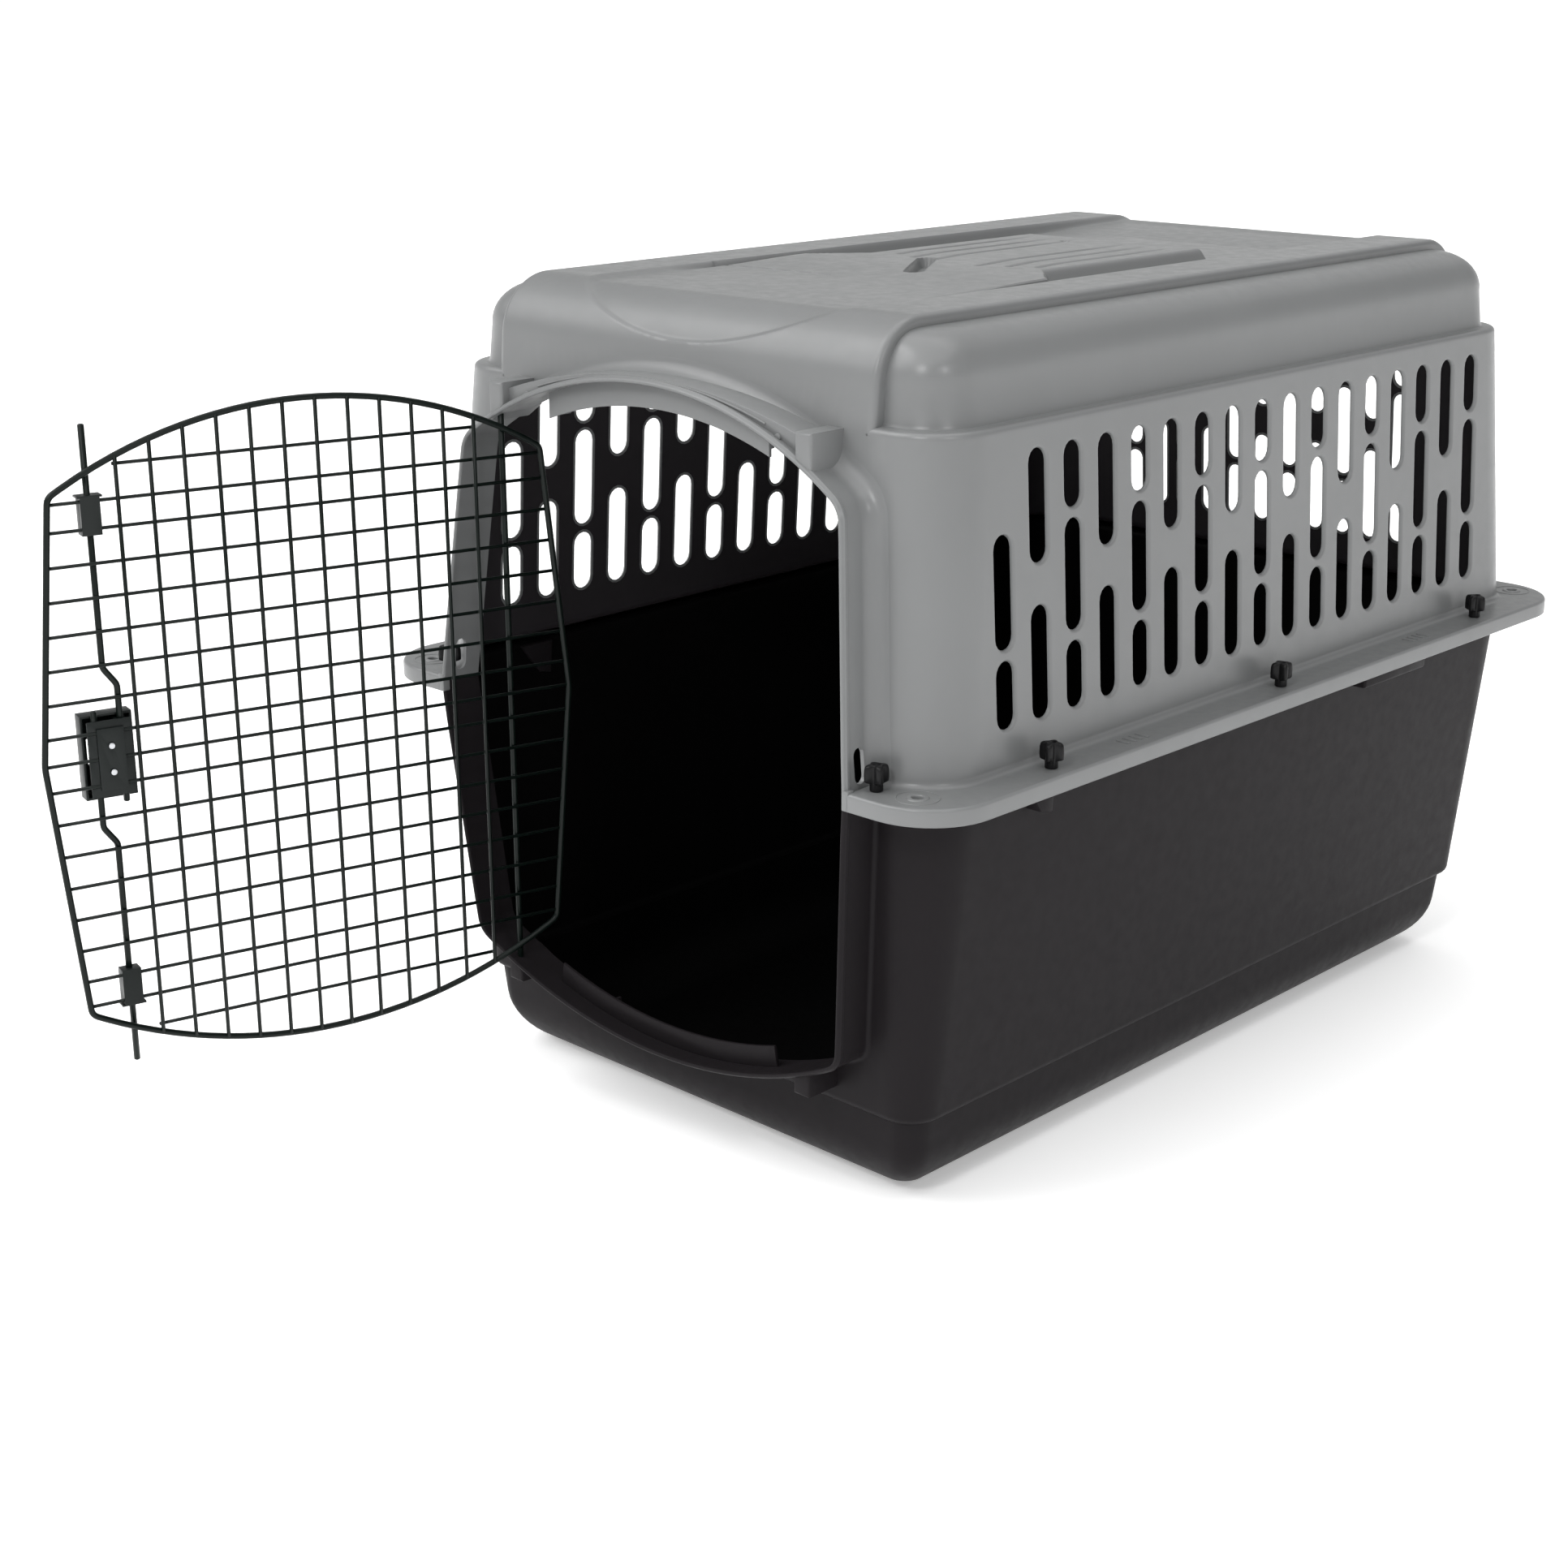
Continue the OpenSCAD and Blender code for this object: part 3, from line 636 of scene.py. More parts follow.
def lower_doorway(g=0.0, start=TUB_TOP):
    """Right top, down and along the sill, to the left top of the doorway, grown outwards by g."""
    head = OPEN_W + g
    sill_z = arc_z(OPEN_LOW_W + g, SILL_BOW, OPEN_SILL - g, -1)
    corner = (OPEN_LOW_W + g, sill_z)
    in_x = OPEN_LOW_W + g - 13.0
    inner = (in_x, arc_z(in_x, SILL_BOW, OPEN_SILL - g, -1))
    sill = bow(inner[0], 0.0, 20, SILL_BOW, OPEN_SILL - g, -1)
    side = [(head + (corner[0] - head) * t, start + (sill_z - start) * t) for t in steps(0, 0.9, 6)]
    right = side + fillet(side[0], corner, inner, CORNER_SOFT * 0.8)[1:-1] + sill
    return right + [(-x, z) for x, z in reversed(right[:-1])]


def rounded_front_y(x, w, l, r):
    """Front face of a rounded rectangle at x."""
    past = min(max(abs(x) - (w - r), 0.0), r * 0.98)
    return -(l - r + math.sqrt(r * r - past * past))


def cover_front_y(x, z):
    z = min(z, PANEL_FRONT_TOP)
    if abs(x) < CENTRE_W:
        return -cover_l(z)
    return rounded_front_y(x, cover_w(z), cover_l(z), COVER_R)


def tub_front_y(x, z):
    inset = 0.0 if z > STEP_Z + STEP_IN else STEP_IN * smooth((STEP_Z + STEP_IN - z) / STEP_IN)
    return rounded_front_y(x, tub_w(z), tub_l(z), tub_r(z)) + inset


def collar(skin, outline, rim_y, wall_y, soft):
    """Wall that stands out round the doorway, with a beaded rim and a filleted foot."""
    flat = np.array(outline)
    along = np.gradient(flat, axis=0)
    along /= np.linalg.norm(along, axis=1)[:, None]
    out = np.stack([along[:, 1], -along[:, 0]], axis=1)
    centre = np.array([0.0, MID_Z])
    out *= np.sign(np.sum(out * (flat - centre), axis=1))[:, None]
    out[0] = (math.copysign(1, flat[0][0]), 0)
    out[-1] = (math.copysign(1, flat[-1][0]), 0)
    t = COLLAR_T
    half = t / 2
    bead = [(half - half * math.cos(a), half - half * math.sin(a)) for a in steps(0, math.pi, 6)]
    rows = []
    for (x, z), (nx, nz) in zip(flat, out):
        front = rim_y(z)
        section = [(0.0, wall_y(x, z) + WALL), (0.0, front + half + 1.5)]
        section += [(g, front + d) for g, d in bead]
        section += [(t + g, front + half + d) for g, d in ((1.0, 1.2), (1.0, 3.2), (0.0, 4.4))]
        section += [(t, wall_y(x + nx * t, z + nz * t) - soft - 1.0)]
        row = [(x + nx * g, y, z + nz * g) for g, y in section]
        for gone, sin in quarter(6):
            g = t + soft * gone
            px, pz = x + nx * g, z + nz * g
            row.append((px, wall_y(px, pz) - soft + soft * sin, pz))
        for g, d in ((t + soft + 1.0, WALL / 2), (2.0, WALL / 2)):
            px, pz = x + nx * g, z + nz * g
            row.append((px, wall_y(px, pz) + d, pz))
        rows.append(row)
    skin.grid(rows, closed=True)
    skin.cap(rows[0])
    skin.cap(rows[-1])


# ---------------------------------------------------------------- upper shell

LEAN = math.atan(COVER_SLOPE_L)
ROOF_FLAT = cover_l(ROOF_Z - TOP_R + TOP_R * math.sin(LEAN)) - TOP_R * math.cos(LEAN)
ROOF_TURN = math.pi / 2 - LEAN
ROOF_EDGE = ROOF_FLAT + TOP_R * ROOF_TURN
PANEL_TOP = 634.0
PANEL_FRONT_TOP = 637.0
LEDGE_START = 603.0
RIM_X = CENTRE_W - EDGE_R - 1.5


def roof_base(v):
    """Point and outward direction, in y and z, at distance v along the middle of the roof."""
    s = math.copysign(1.0, v)
    past = abs(v) - ROOF_FLAT
    if past <= 0:
        return (v, ROOF_Z), (0.0, 1.0)
    turn = min(past / TOP_R, ROOF_TURN)
    down = max(past - TOP_R * ROOF_TURN, 0.0)
    n = (math.sin(turn), math.cos(turn))
    y = ROOF_FLAT + TOP_R * n[0] + down * math.sin(LEAN)
    z = ROOF_Z - TOP_R + TOP_R * n[1] - down * math.cos(LEAN)
    return (s * y, z), (s * n[0], n[1])


def roof_point(x, v, h):
    (y, z), (ny, nz) = roof_base(v)
    return (x, y + ny * h, z + nz * h)


def edge_v(z):
    """Distance along the roof path at which its straight end reaches height z."""
    return ROOF_EDGE + (roof_base(ROOF_EDGE)[0][1] - z) / math.cos(LEAN)


RECESS_W = 151.0
RECESS_D = 12.0
SHALLOW_D = 2.6
NOSE_W = 149.0
NOSE_V = -336.0
NOSE_LONG = 79.0
GRIP_W = 100.0
FLOOR_W = 136.0
TAPER_V = -118.0
TAPER_LONG = 43.0
GRIP_BACK = 151.0
GROOVES = 3
GROOVE_X = 28
GROOVE_PITCH = 24
GROOVE_D = 3.0

# Slot, long groove, its small head and the hole: two ends, half width, depth
ROOF_CUTS = [
    ((21.0, -150.0), (-28.0, -76.0), 7.0, 9.0),
    ((-146.0, -213.5), (-24.0, -205.5), 1.4, 2.4),
    ((-143.0, -213.3), (-135.0, -212.8), 3.2, 2.0),
    ((-31.0, 118.0), (-31.0, 118.1), 2.6, 4.0),
]


def from_line(x, v, x0, v0, x1, v1):
    """Distance of (x, v) from the stretch between two points."""
    dx, dv = x1 - x0, v1 - v0
    t = min(max(((x - x0) * dx + (v - v0) * dv) / (dx * dx + dv * dv), 0.0), 1.0)
    return math.hypot(x - x0 - t * dx, v - v0 - t * dv)


def roof_height(x, v):
    """How far the roof is sunk at (x, v): the panel, its middle floor, the grip and the grooves."""
    side = smooth((RECESS_W + 2.5 - abs(x)) / 5)
    nose = (1 - math.hypot(x / NOSE_W, min(v - NOSE_V, 0.0) / NOSE_LONG)) * NOSE_LONG
    back = 1 - 0.5 * smooth((v - GRIP_BACK) / 190)
    deep = RECESS_D * smooth((v + 330) / 200) * back
    taper = min(max((v - TAPER_V) / TAPER_LONG, 0.0), 1.0)
    half = FLOOR_W - (FLOOR_W - GRIP_W) * taper
    slope = 4 + 8 * taper
    middle = smooth((half + slope / 2 - abs(x)) / slope) * smooth((GRIP_BACK + 4 - v) / 8)
    shallow = SHALLOW_D * smooth((-112.0 - v) / 130)
    depth = (max(deep, SHALLOW_D) * (1 - middle) + shallow * middle) * side * smooth(nose / 4)
    depth *= smooth((edge_v(PANEL_TOP) - 34 - v) / 60)
    for k in range(GROOVES):
        line = GROOVE_X + GROOVE_PITCH * k + 9 * smooth((-20 - v) / 70) * (1 if x > 0 else -1)
        run = smooth((v + 92 - 12 * k) / 8) * smooth((134 - v) / 60)
        depth += GROOVE_D * (1 - smooth(abs(abs(x) - line) / 4.2)) * run
    for (x0, v0), (x1, v1), wide, low in ROOF_CUTS:
        depth += low * smooth((wide + 1.6 - from_line(x, v, x0, v0, x1, v1)) / 3.2)
    return -depth


def roof_lines(edges, limit, coarse, fine):
    """Grid lines from -limit to limit, closer together near the given places."""
    values = [-limit]
    while values[-1] < limit - 1e-6:
        near = min(abs(values[-1] + fine - e) for e in edges)
        gap = fine if near < 7 else min(coarse, max(fine, near - 6))
        values.append(min(values[-1] + gap, limit))
    if values[-1] - values[-2] < fine / 2:
        values.pop(-2)
    return values


def roof(skin):
    top = edge_v(PANEL_TOP)
    xs = roof_lines([-151, -142, *range(-108, 109, 9), 142, 151], RIM_X, 4.0, 1.4)
    vs = roof_lines([*range(-415, -340, 9), *range(-216, -66, 9), 118, 151], top, 4.0, 1.4)
    skin.grid([[roof_point(x, v, roof_height(x, v)) for x in xs] for v in vs])
    low = edge_v(LEDGE_START)
    stations = [-low] + vs + [low]
    for s in (-1, 1):
        rows = [(RIM_X, 0.0), (CENTRE_W - EDGE_R, 0.0)]
        rows += [(CENTRE_W - EDGE_R + EDGE_R * sin, -EDGE_R * gone) for gone, sin in quarter(5)][1:]
        rows += [(CENTRE_W, -LEDGE_IN - 3)]
        skin.grid([[roof_point(s * x, v, h) for v in stations] for x, h in rows])
    return xs


def cover_walls(skin, xs):
    z1 = FLANGE_Z + 6.0
    z2 = LEDGE_START

    def xt(z):
        return cover_w(z) - COVER_R - SUPPORT

    door = upper_doorway(0.0, z1)
    head = [(x, PANEL_TOP) for x in reversed(xs)]
    shoulders = [(xt(z2), z2), (RIM_X, z2)]
    outline = [(-xt(z1), z1)] + door[::-1] + [(xt(z1), z1)] + shoulders + head
    outline += [(-RIM_X, z2), (-xt(z2), z2)]
    skin.panel(outline, [], lambda x, z: (x, -cover_l(z), z))
    outline = [(-xt(z1), z1), (xt(z1), z1)] + shoulders + head + [(-RIM_X, z2), (-xt(z2), z2)]
    slotted_panel(skin, outline, back_slots(), lambda x, z, d: (x, cover_l(z) - d, z))
    for s in (-1, 1):
        corners = ((z1, -1), (z1, 1), (z2, 1), (z2, -1))
        ends = [(e * (cover_l(z) - COVER_R - SUPPORT), z) for z, e in corners]
        slotted_panel(skin, ends, side_slots(), lambda y, z, d, s=s: (s * (cover_w(z) - d), y, z))
        for front in (True, False):
            skin.grid([[(s * x, y, z) for x, y in corner_run(cover_w(z), cover_l(z), COVER_R, front)]
                       for z in (z1, z2)])
        levels = [(z2, 0.0)]
        levels += [(605.0 + 4 * sin, 4 * gone) for gone, sin in quarter(5)]
        levels += [(LEDGE_Z + 0.3, LEDGE_IN + 2)]
        rows = []
        for z, inset in levels:
            w, l, r = cover_w(z) - inset, cover_l(z) - inset, COVER_R - inset
            run = [(RIM_X, -l)] + corner_run(w, l, r, True) + corner_run(w, l, r, False) + [(RIM_X, l)]
            rows.append([(s * x, y, z) for x, y in run])
        skin.grid(rows)


TIES = [(sx * 275.0, sy * 431.0) for sx in (-1, 1) for sy in (-1, 1)]
TIE_HOLE = 4.5
TIE_RING = 8.6


def outer_run(inset, gap):
    """Flange edge in plan, open between -gap and gap at the front."""
    w, l, r = FLANGE_W - inset, FLANGE_L - inset, FLANGE_R - inset
    return [(gap, -l)] + open_ring(w, l, r) + [(-gap, -l)]


def cover_flange(skin):
    gap = OPEN_W + 5.5
    levels = [(FLANGE_Z + 6.0, 0.0)]
    levels += [(FLANGE_Z + 5 - 5 * sin, -5 * gone) for gone, sin in quarter(5)]
    levels += [(FLANGE_Z, -6.5)]
    rows = [at_z(open_ring(cover_w(z) - i, cover_l(z) - i, COVER_R - i), z) for z, i in levels]
    skin.grid(rows)
    inner = [(x, y) for x, y, _ in rows[-1]]
    circles = [circle(x, y, TIE_RING, 32) for x, y in TIES]
    skin.panel(outer_run(4.0, gap) + inner[::-1], circles, lambda x, y: (x, y, FLANGE_Z))
    edge = [(4.0, 0.0), (2.5, 0.0)]
    edge += [(2.5 - 2.5 * sin, -2.5 * gone) for gone, sin in quarter(4)][1:]
    edge += [(0.0, LIP_Z - FLANGE_Z + 0.6), (0.6, LIP_Z - FLANGE_Z)]
    skin.grid([at_z(outer_run(i, gap), FLANGE_Z + h) for i, h in edge])
    for x, y in TIES:
        profile = [(TIE_RING, 0.0), (TIE_RING - 0.4, 0.5), (TIE_RING - 1.0, 0.9), (6.6, 1.0),
                   (5.3, 0.9), (4.8, 0.5), (TIE_HOLE, 0.0), (TIE_HOLE, -4.0)]
        lathe(skin, (x, y), [(r, FLANGE_Z + h) for r, h in profile])


def tie_rings(skin):
    """Thin raised circles round the corner tie holes."""
    for x, y in TIES:
        tube(skin, at_z(circle(x, y, 16, 48), FLANGE_Z), 0.45, 8, closed=True)


POD_RISE = 640.5
POD_ROUND = 35
POD_ROUND_L = 30
POD_R = 40


def pods(skin):
    """Shoulders that stand in from the walls, closed over the top."""
    w0 = cover_w(LEDGE_Z) - LEDGE_IN
    l0 = cover_l(LEDGE_Z) - LEDGE_IN
    w1, l1 = w0 - 3.6, l0 - 1.6
    levels = [(LEDGE_Z - 6, w0 + 3, l0 + 3, 44), (LEDGE_Z + 0.1, w0 + 3.2, l0 + 3.2, 44),
              (LEDGE_Z + 0.8, w0 + 1.2, l0 + 1.2, 43), (LEDGE_Z + 3.4, w0, l0, 42),
              (POD_RISE, w1, l1, POD_R)]
    for a in steps(0, math.pi / 2, 12)[1:]:
        z = POD_RISE + POD_ROUND * math.sin(a)
        w = w1 - POD_ROUND * (1 - math.cos(a))
        l = l1 - POD_ROUND_L * (1 - math.cos(a)) - 2 * math.sin(a)
        levels.append((z, w, l, POD_R - 8 * math.sin(a)))
    rows = [at_z(open_ring(w, l, r), z) for z, w, l, r in levels]
    skin.grid(rows, closed=True)
    skin.cap(rows[-1])


WEB_BOW = 520.0
WEB_PEAK = 626.5
WEB_FRONT = -431.5
WEB_LINE_Y = -431.6


def crescent(skin):
    """Web between the arch and the front wall, with a thin raised line and a small boss a side."""
    top = bow(168.0, -168.0, 28, WEB_BOW, WEB_PEAK)
    low = bow(-172.0, 172.0, 28, ARCH_BOW, OPEN_PEAK + 2)
    skin.prism(top + low, WEB_FRONT, -398.0, r=1.2)
    line = bow(125.0, -125.0, 24, 420.0, 625.2)
    tube(skin, [(x, WEB_LINE_Y, z) for x, z in line], 0.9, 8)
    for s in (-1, 1):
        skin.prism(circle(s * 138, 598, 3, 16), -433.4, -429.0, r=0.7)


def cover_rim_y(z):
    """Front of the upper collar, which leans back from the flange upwards."""
    if z < FLANGE_Z + 2:
        return -FLANGE_L
    return -FLANGE_L + (z - FLANGE_Z - 2) * (FLANGE_L - 436.4) / (640 - FLANGE_Z - 2)


def cover_parts(skin):
    """Stop plate under the arch, its ribs, the rod blocks, the collar's feet and the grip ribs."""
    high = bow(STOP_W, -STOP_W, 28, ARCH_BOW, OPEN_PEAK + 1)
    low = bow(-STOP_W, STOP_W, 28, ARCH_BOW, OPEN_PEAK - 20)
    skin.prism(high + low, *ARCH_STOP_Y, r=0.9)
    for s in (-1, 1):
        block = [(s * BLOCK_IN, 584), (s * BLOCK_OUT, 573), (s * BLOCK_OUT, 606), (s * BLOCK_IN, 606)]
        skin.prism(block, -439.5, -396, r=2.6, n=3)
        foot = s * 229.8
        skin.box((foot - 3.2, -FLANGE_L, LIP_Z), (foot + 3.2, -452.2, FLANGE_Z + 1.5), 0.8, 2)
        skin.box((s * 112 - 1.5, -421.4, 584), (s * 112 + 1.5, -410, 606), 0.6)
        x0, x1 = s * 300 - 6, s * 300 + 6
        for y in (-208.0, 212.0):
            for k in range(4):
                mid = y + (k - 1.5) * 8
                skin.box((x0, mid - 1.5, FLANGE_Z - 1), (x1, mid + 1.5, FLANGE_Z + 0.9), 0.5)


def make_cover():
    skin = Skin()
    xs = roof(skin)
    cover_walls(skin, xs)
    cover_flange(skin)
    bm = thickened(welded(skin), WALL)
    pod = Skin()
    pods(pod)
    shell = thickened(welded(pod), WALL)
    band = Skin()
    collar(band, upper_doorway(), cover_rim_y, cover_front_y, 13.0)
    notches = Skin()
    for s in (-1, 1):
        hole = [(u + NOTCH_Y, w) for u, w in stadium(0, NOTCH_Z, NOTCH_Z + NOTCH_H, NOTCH_W, 0.0)]
        prism_x(notches, hole, s * (OPEN_W - 6), s * (OPEN_W + 12), 0.01)
    ring = cut(welded(band), welded(notches))
    extra = Skin()
    crescent(extra)
    tie_rings(extra)
    cover_parts(extra)
    whole = joined([bm, shell, ring, welded(extra)])
    obj = mesh_object("cover", whole, [GREY, GREY_INSIDE_PAINTED_SHADE], "kennel")
    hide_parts("top_shell")


# ---------------------------------------------------------------- lower shell

def tub_rim_y(z):
    """Front of the lower collar, which leans back from the flange downwards."""
    if z > LIP_Z - 2:
        return -FLANGE_L
    return -FLANGE_L + (LIP_Z - 2 - z) * (FLANGE_L - 440.6) / (LIP_Z - 2 - COLLAR_END)


def tub_skin(skin):
    z2 = TUB_TOP - 7.6
    z1 = STEP_Z + STEP_IN

    def xt(z):
        return tub_w(z) - tub_r(z) - SUPPORT

    skin.grid([at_z(open_ring(tub_w(z), tub_l(z), tub_r(z)), z) for z in (z1, z2)])
    skin.grid([[(s * xt(z), -tub_l(z), z) for s in (-1, 1)] for z in (z1, z2)])
    bevel = [(z1 - STEP_IN * sin, STEP_IN * gone) for gone, sin in quarter(6)]
    rows = [at_z(open_ring(tub_w(z) - i, tub_l(z) - i, tub_r(z) - i * 0.8), z) for z, i in bevel]
    levels = [(STEP_Z - 0.8, 0.0), (STEP_Z - 3, 0.0), (FOOT_R + 3, 0.0)]
    levels += [(FOOT_R - FOOT_R * sin, FOOT_R * gone) for gone, sin in quarter(12)]
    for z, i in levels:
        w, l = tub_w(z) - STEP_IN - i, tub_l(z) - STEP_IN - i
        rows.append(at_z(open_ring(w, l, max(FOOT_CORNER - i * 0.3, 9)), z))
    skin.grid(rows, closed=True)
    skin.cap(rows[-1])
    levels = [(z2, 0.0)]
    levels += [(z2 + 0.6 + 3 * sin, -3 * gone) for gone, sin in quarter(4)]
    base = levels[-1][0]
    levels += [(base, -4.5)]
    rows = [at_z(open_ring(tub_w(z2) - i, tub_l(z2) - i, tub_r(z2) - i), z) for z, i in levels]
    skin.grid(rows)
    gap = OPEN_W + 5.0
    inner = [(x, y) for x, y, _ in rows[-1]]
    skin.panel(outer_run(6.0, gap) + inner[::-1], [], lambda x, y: (x, y, base))
    edge = [(6.0, base), (5.2, base), (4.4, base + 0.4), (4.0, base + 1.2), (4.0, base + 3.0)]
    skin.grid([at_z(outer_run(i, gap), z) for i, z in edge])


def sill_parts(skin):
    """Raised stop along the sill with two ribs, the rod blocks and the finger ledges."""
    low = bow(-SILL_STOP_W, SILL_STOP_W, 24, SILL_BOW, OPEN_SILL - 1, -1)
    high = bow(SILL_STOP_W, -SILL_STOP_W, 24, SILL_BOW, OPEN_SILL + 17, -1)
    skin.prism(low + [(x * 0.975, z) for x, z in high], *SILL_STOP_Y, r=0.9)
    for s in (-1, 1):
        foot = arc_z(70, SILL_BOW, OPEN_SILL - 1, -1)
        skin.box((s * 70 - 1.5, -421.4, foot), (s * 70 + 1.5, -409, foot + 12), 0.6)
        block = [(s * BLOCK_IN, 91), (s * BLOCK_OUT, 91), (s * BLOCK_OUT, 114), (s * BLOCK_IN, 107)]
        skin.prism(block, -440.5, -404, r=2.0, n=3)
        skin.box((s * 292 - 14, 122, LIP_Z - 14), (s * 292 + 14, 222, LIP_Z + 7), 2.5, 3)
        gusset = [(-330, LIP_Z + 5), (-294, LIP_Z + 5), (-297, LIP_Z - 25), (-311, LIP_Z - 22)]
        prism_x(skin, gusset, s * 276, s * 294, 2.0)


def doorway_block():
    """Space that the lower half of the doorway takes out of the tub."""
    skin = Skin()
    top = TUB_TOP + 5
    outline = [(OPEN_W + 0.4, top)] + lower_doorway(0.3, TUB_TOP - 0.3) + [(-OPEN_W - 0.4, top)]
    skin.prism(outline, -FLANGE_L - 20, -340.0, r=0.01, n=1)
    return welded(skin)


def make_tub():
    skin = Skin()
    tub_skin(skin)
    bm = cut(thickened(welded(skin), WALL), doorway_block())
    band = Skin()
    collar(band, lower_doorway(), tub_rim_y, tub_front_y, 3.5)
    ears = Skin()
    for s in (-1, 1):
        x0, x1 = s * 229 - 7, s * 229 + 7
        ears.box((x0, -FLANGE_L - 3, LIP_Z - 0.3), (x1, -451.9, TUB_TOP + 2), 0.01, 1)
    ring = cut(welded(band), welded(ears))
    extra = Skin()
    sill_parts(extra)
    whole = joined([bm, ring, welded(extra)])
    obj = mesh_object("tub", whole, [CHARCOAL, CHARCOAL_INSIDE_PAINTED_SHADE], "kennel")
    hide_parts("bottom_shell")


make_cover()
make_tub()

# ---------------------------------------------------------------- knobs and bolts


# Height, mean radius and lobe size, from the foot of the stem up and into the hollow top
KNOB_LEVELS = [
    (0.0, 4.4, 0), (0.6, 5.0, 0), (5.6, 5.0, 0), (6.2, 5.8, 0.8), (6.6, 6.6, 1.7),
    (7.4, 7.2, 2.2), (12, 7.3, 2.3), (16.5, 7.2, 2.2), (18.6, 6.8, 2.0), (19.6, 6.2, 1.5),
    (20.0, 5.2, 0.8), (19.9, 3.4, 0), (19.2, 2.6, 0), (18.9, 1.6, 0),
]
KNOB_LOBES = 4
KNOB_SIDES = 64


def knob_mesh():
    """Lobed nut with a stem, drawn about the bolt's line from height 0."""
    skin = Skin()
    rows = []
    for z, r, lobe in KNOB_LEVELS:
        row = []
        for a in steps(0, 2 * math.pi, KNOB_SIDES)[:-1]:
            reach = r + lobe * math.cos(KNOB_LOBES * a)
            row.append((reach * math.cos(a), reach * math.sin(a), z))
        rows.append(row)
    skin.grid(rows, closed=True)
    skin.cap(rows[0])
    skin.cap(rows[-1])
    return skin


def make_knobs():
    """One knob on each bolt, each turned to its own angle."""
    source = knob_mesh()
    for i in range(10):
        node = f"knob_nut_{i + 1:02d}"
        joint = JOINTS[f"knob_turn_{i + 1:02d}"]
        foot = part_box(node)[0][2] / MM
        x, y = joint["pos_m"][0] / MM, joint["pos_m"][1] / MM
        turn = math.radians(20 + 37 * i)
        skin = Skin()
        c, s = math.cos(turn), math.sin(turn)
        turned = [(x + px * c - py * s, y + px * s + py * c, foot + pz) for px, py, pz in source.points]
        skin.add(turned, source.faces)
        name = f"knob_{i + 1:02d}"
        obj = mesh_object(name, welded(skin), [KNOB_BLACK], name, 40)
        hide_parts(node)


make_knobs()

# ---------------------------------------------------------------- door

HINGE = [c / MM for c in JOINTS["door_hinge"]["pos_m"]]
OPEN_TURN = -math.radians(JOINTS["door_hinge"]["range_deg"][1])
ROD_X = -HINGE[0]
ROD_Y = HINGE[1]
FRAME_R = 2.5
ROD_R = 2.5
UPRIGHT_R = 1.6
CROSS_R = 1.4
FRAME_Y = ROD_Y + 2 * FRAME_R + 0.25
UPRIGHT_Y = FRAME_Y + 1.75
CROSS_Y = FRAME_Y - 1.3
FRAME_MID_W = 220.3
FRAME_TOP = (199.9, 551.5, 608.3)
FRAME_LOW = (202.5, 142.5, 88.5)
FRAME_BEND = 9
MID_BEND = 40
TOP_BOW = sag_radius(FRAME_TOP[0], FRAME_TOP[2] - FRAME_TOP[1])
LOW_BOW = sag_radius(FRAME_LOW[0], FRAME_LOW[1] - FRAME_LOW[2])
UPRIGHTS = [148.0 - 26.32 * i for i in range(12)]
CLOSE = 21.0
PITCH = 26.1
LEVELS = [0.0] + [CLOSE + k * PITCH for k in range(7)] + [2 * CLOSE + k * PITCH for k in (6, 7)]
END_CROSS = (144.0, 150.0)
WELD_R = 1.75
HINGE_WELD_R = 2.0
HINGE_WELDS = (-6, -3, 0, 3, 6)


def on_door(point):
    """Point of the shut door, swung to where the door stands open."""
    c, s = math.cos(OPEN_TURN), math.sin(OPEN_TURN)
    x, y = point[0] - HINGE[0], point[1] - HINGE[1]
    return (HINGE[0] + x * c - y * s, HINGE[1] + x * s + y * c, point[2])


def swung(path):
    return [on_door(p) for p in path]


def frame_path():
    """Closed centre line of the door's frame wire, up the right side first."""
    top_x = FRAME_TOP[0] - FRAME_BEND
    low_x = FRAME_LOW[0] - FRAME_BEND
    high = FRAME_TOP[:2]
    foot = FRAME_LOW[:2]
    mid = (FRAME_MID_W, MID_Z)
    over = (top_x, arc_z(top_x, TOP_BOW, FRAME_TOP[2]))
    under = (low_x, arc_z(low_x, LOW_BOW, FRAME_LOW[2], -1))
    right = fillet(under, foot, mid, FRAME_BEND, 4) + fillet(foot, mid, high, MID_BEND, 3)
    right += fillet(mid, high, over, FRAME_BEND, 4)
    top = bow(top_x, -top_x, 28, TOP_BOW, FRAME_TOP[2])
    left = [(-x, z) for x, z in reversed(right)]
    low = bow(-low_x, low_x, 28, LOW_BOW, FRAME_LOW[2], -1)
    return [(x, FRAME_Y, z) for x, z in right + top + left + low]


def frame_half(z):
    end = FRAME_TOP if z > MID_Z else FRAME_LOW
    return FRAME_MID_W + (end[0] - FRAME_MID_W) * abs(z - MID_Z) / abs(end[1] - MID_Z)


def weld_blob(skin, centre, r):
    """Small rounded bead of weld at a crossing."""
    bm = bmesh.new()
    bmesh.ops.create_icosphere(bm, subdivisions=1, radius=1.0)
    for v in bm.verts:
        spot = (centre[0] + v.co.x * r * 1.25, centre[1] + v.co.y * r, centre[2] + v.co.z * r)
        v.co = Vector(on_door(spot))
    skin.merge(bm)


def wire_piece(name, skin, body):
    return mesh_object(name, welded(skin), [COAT], body, 60)


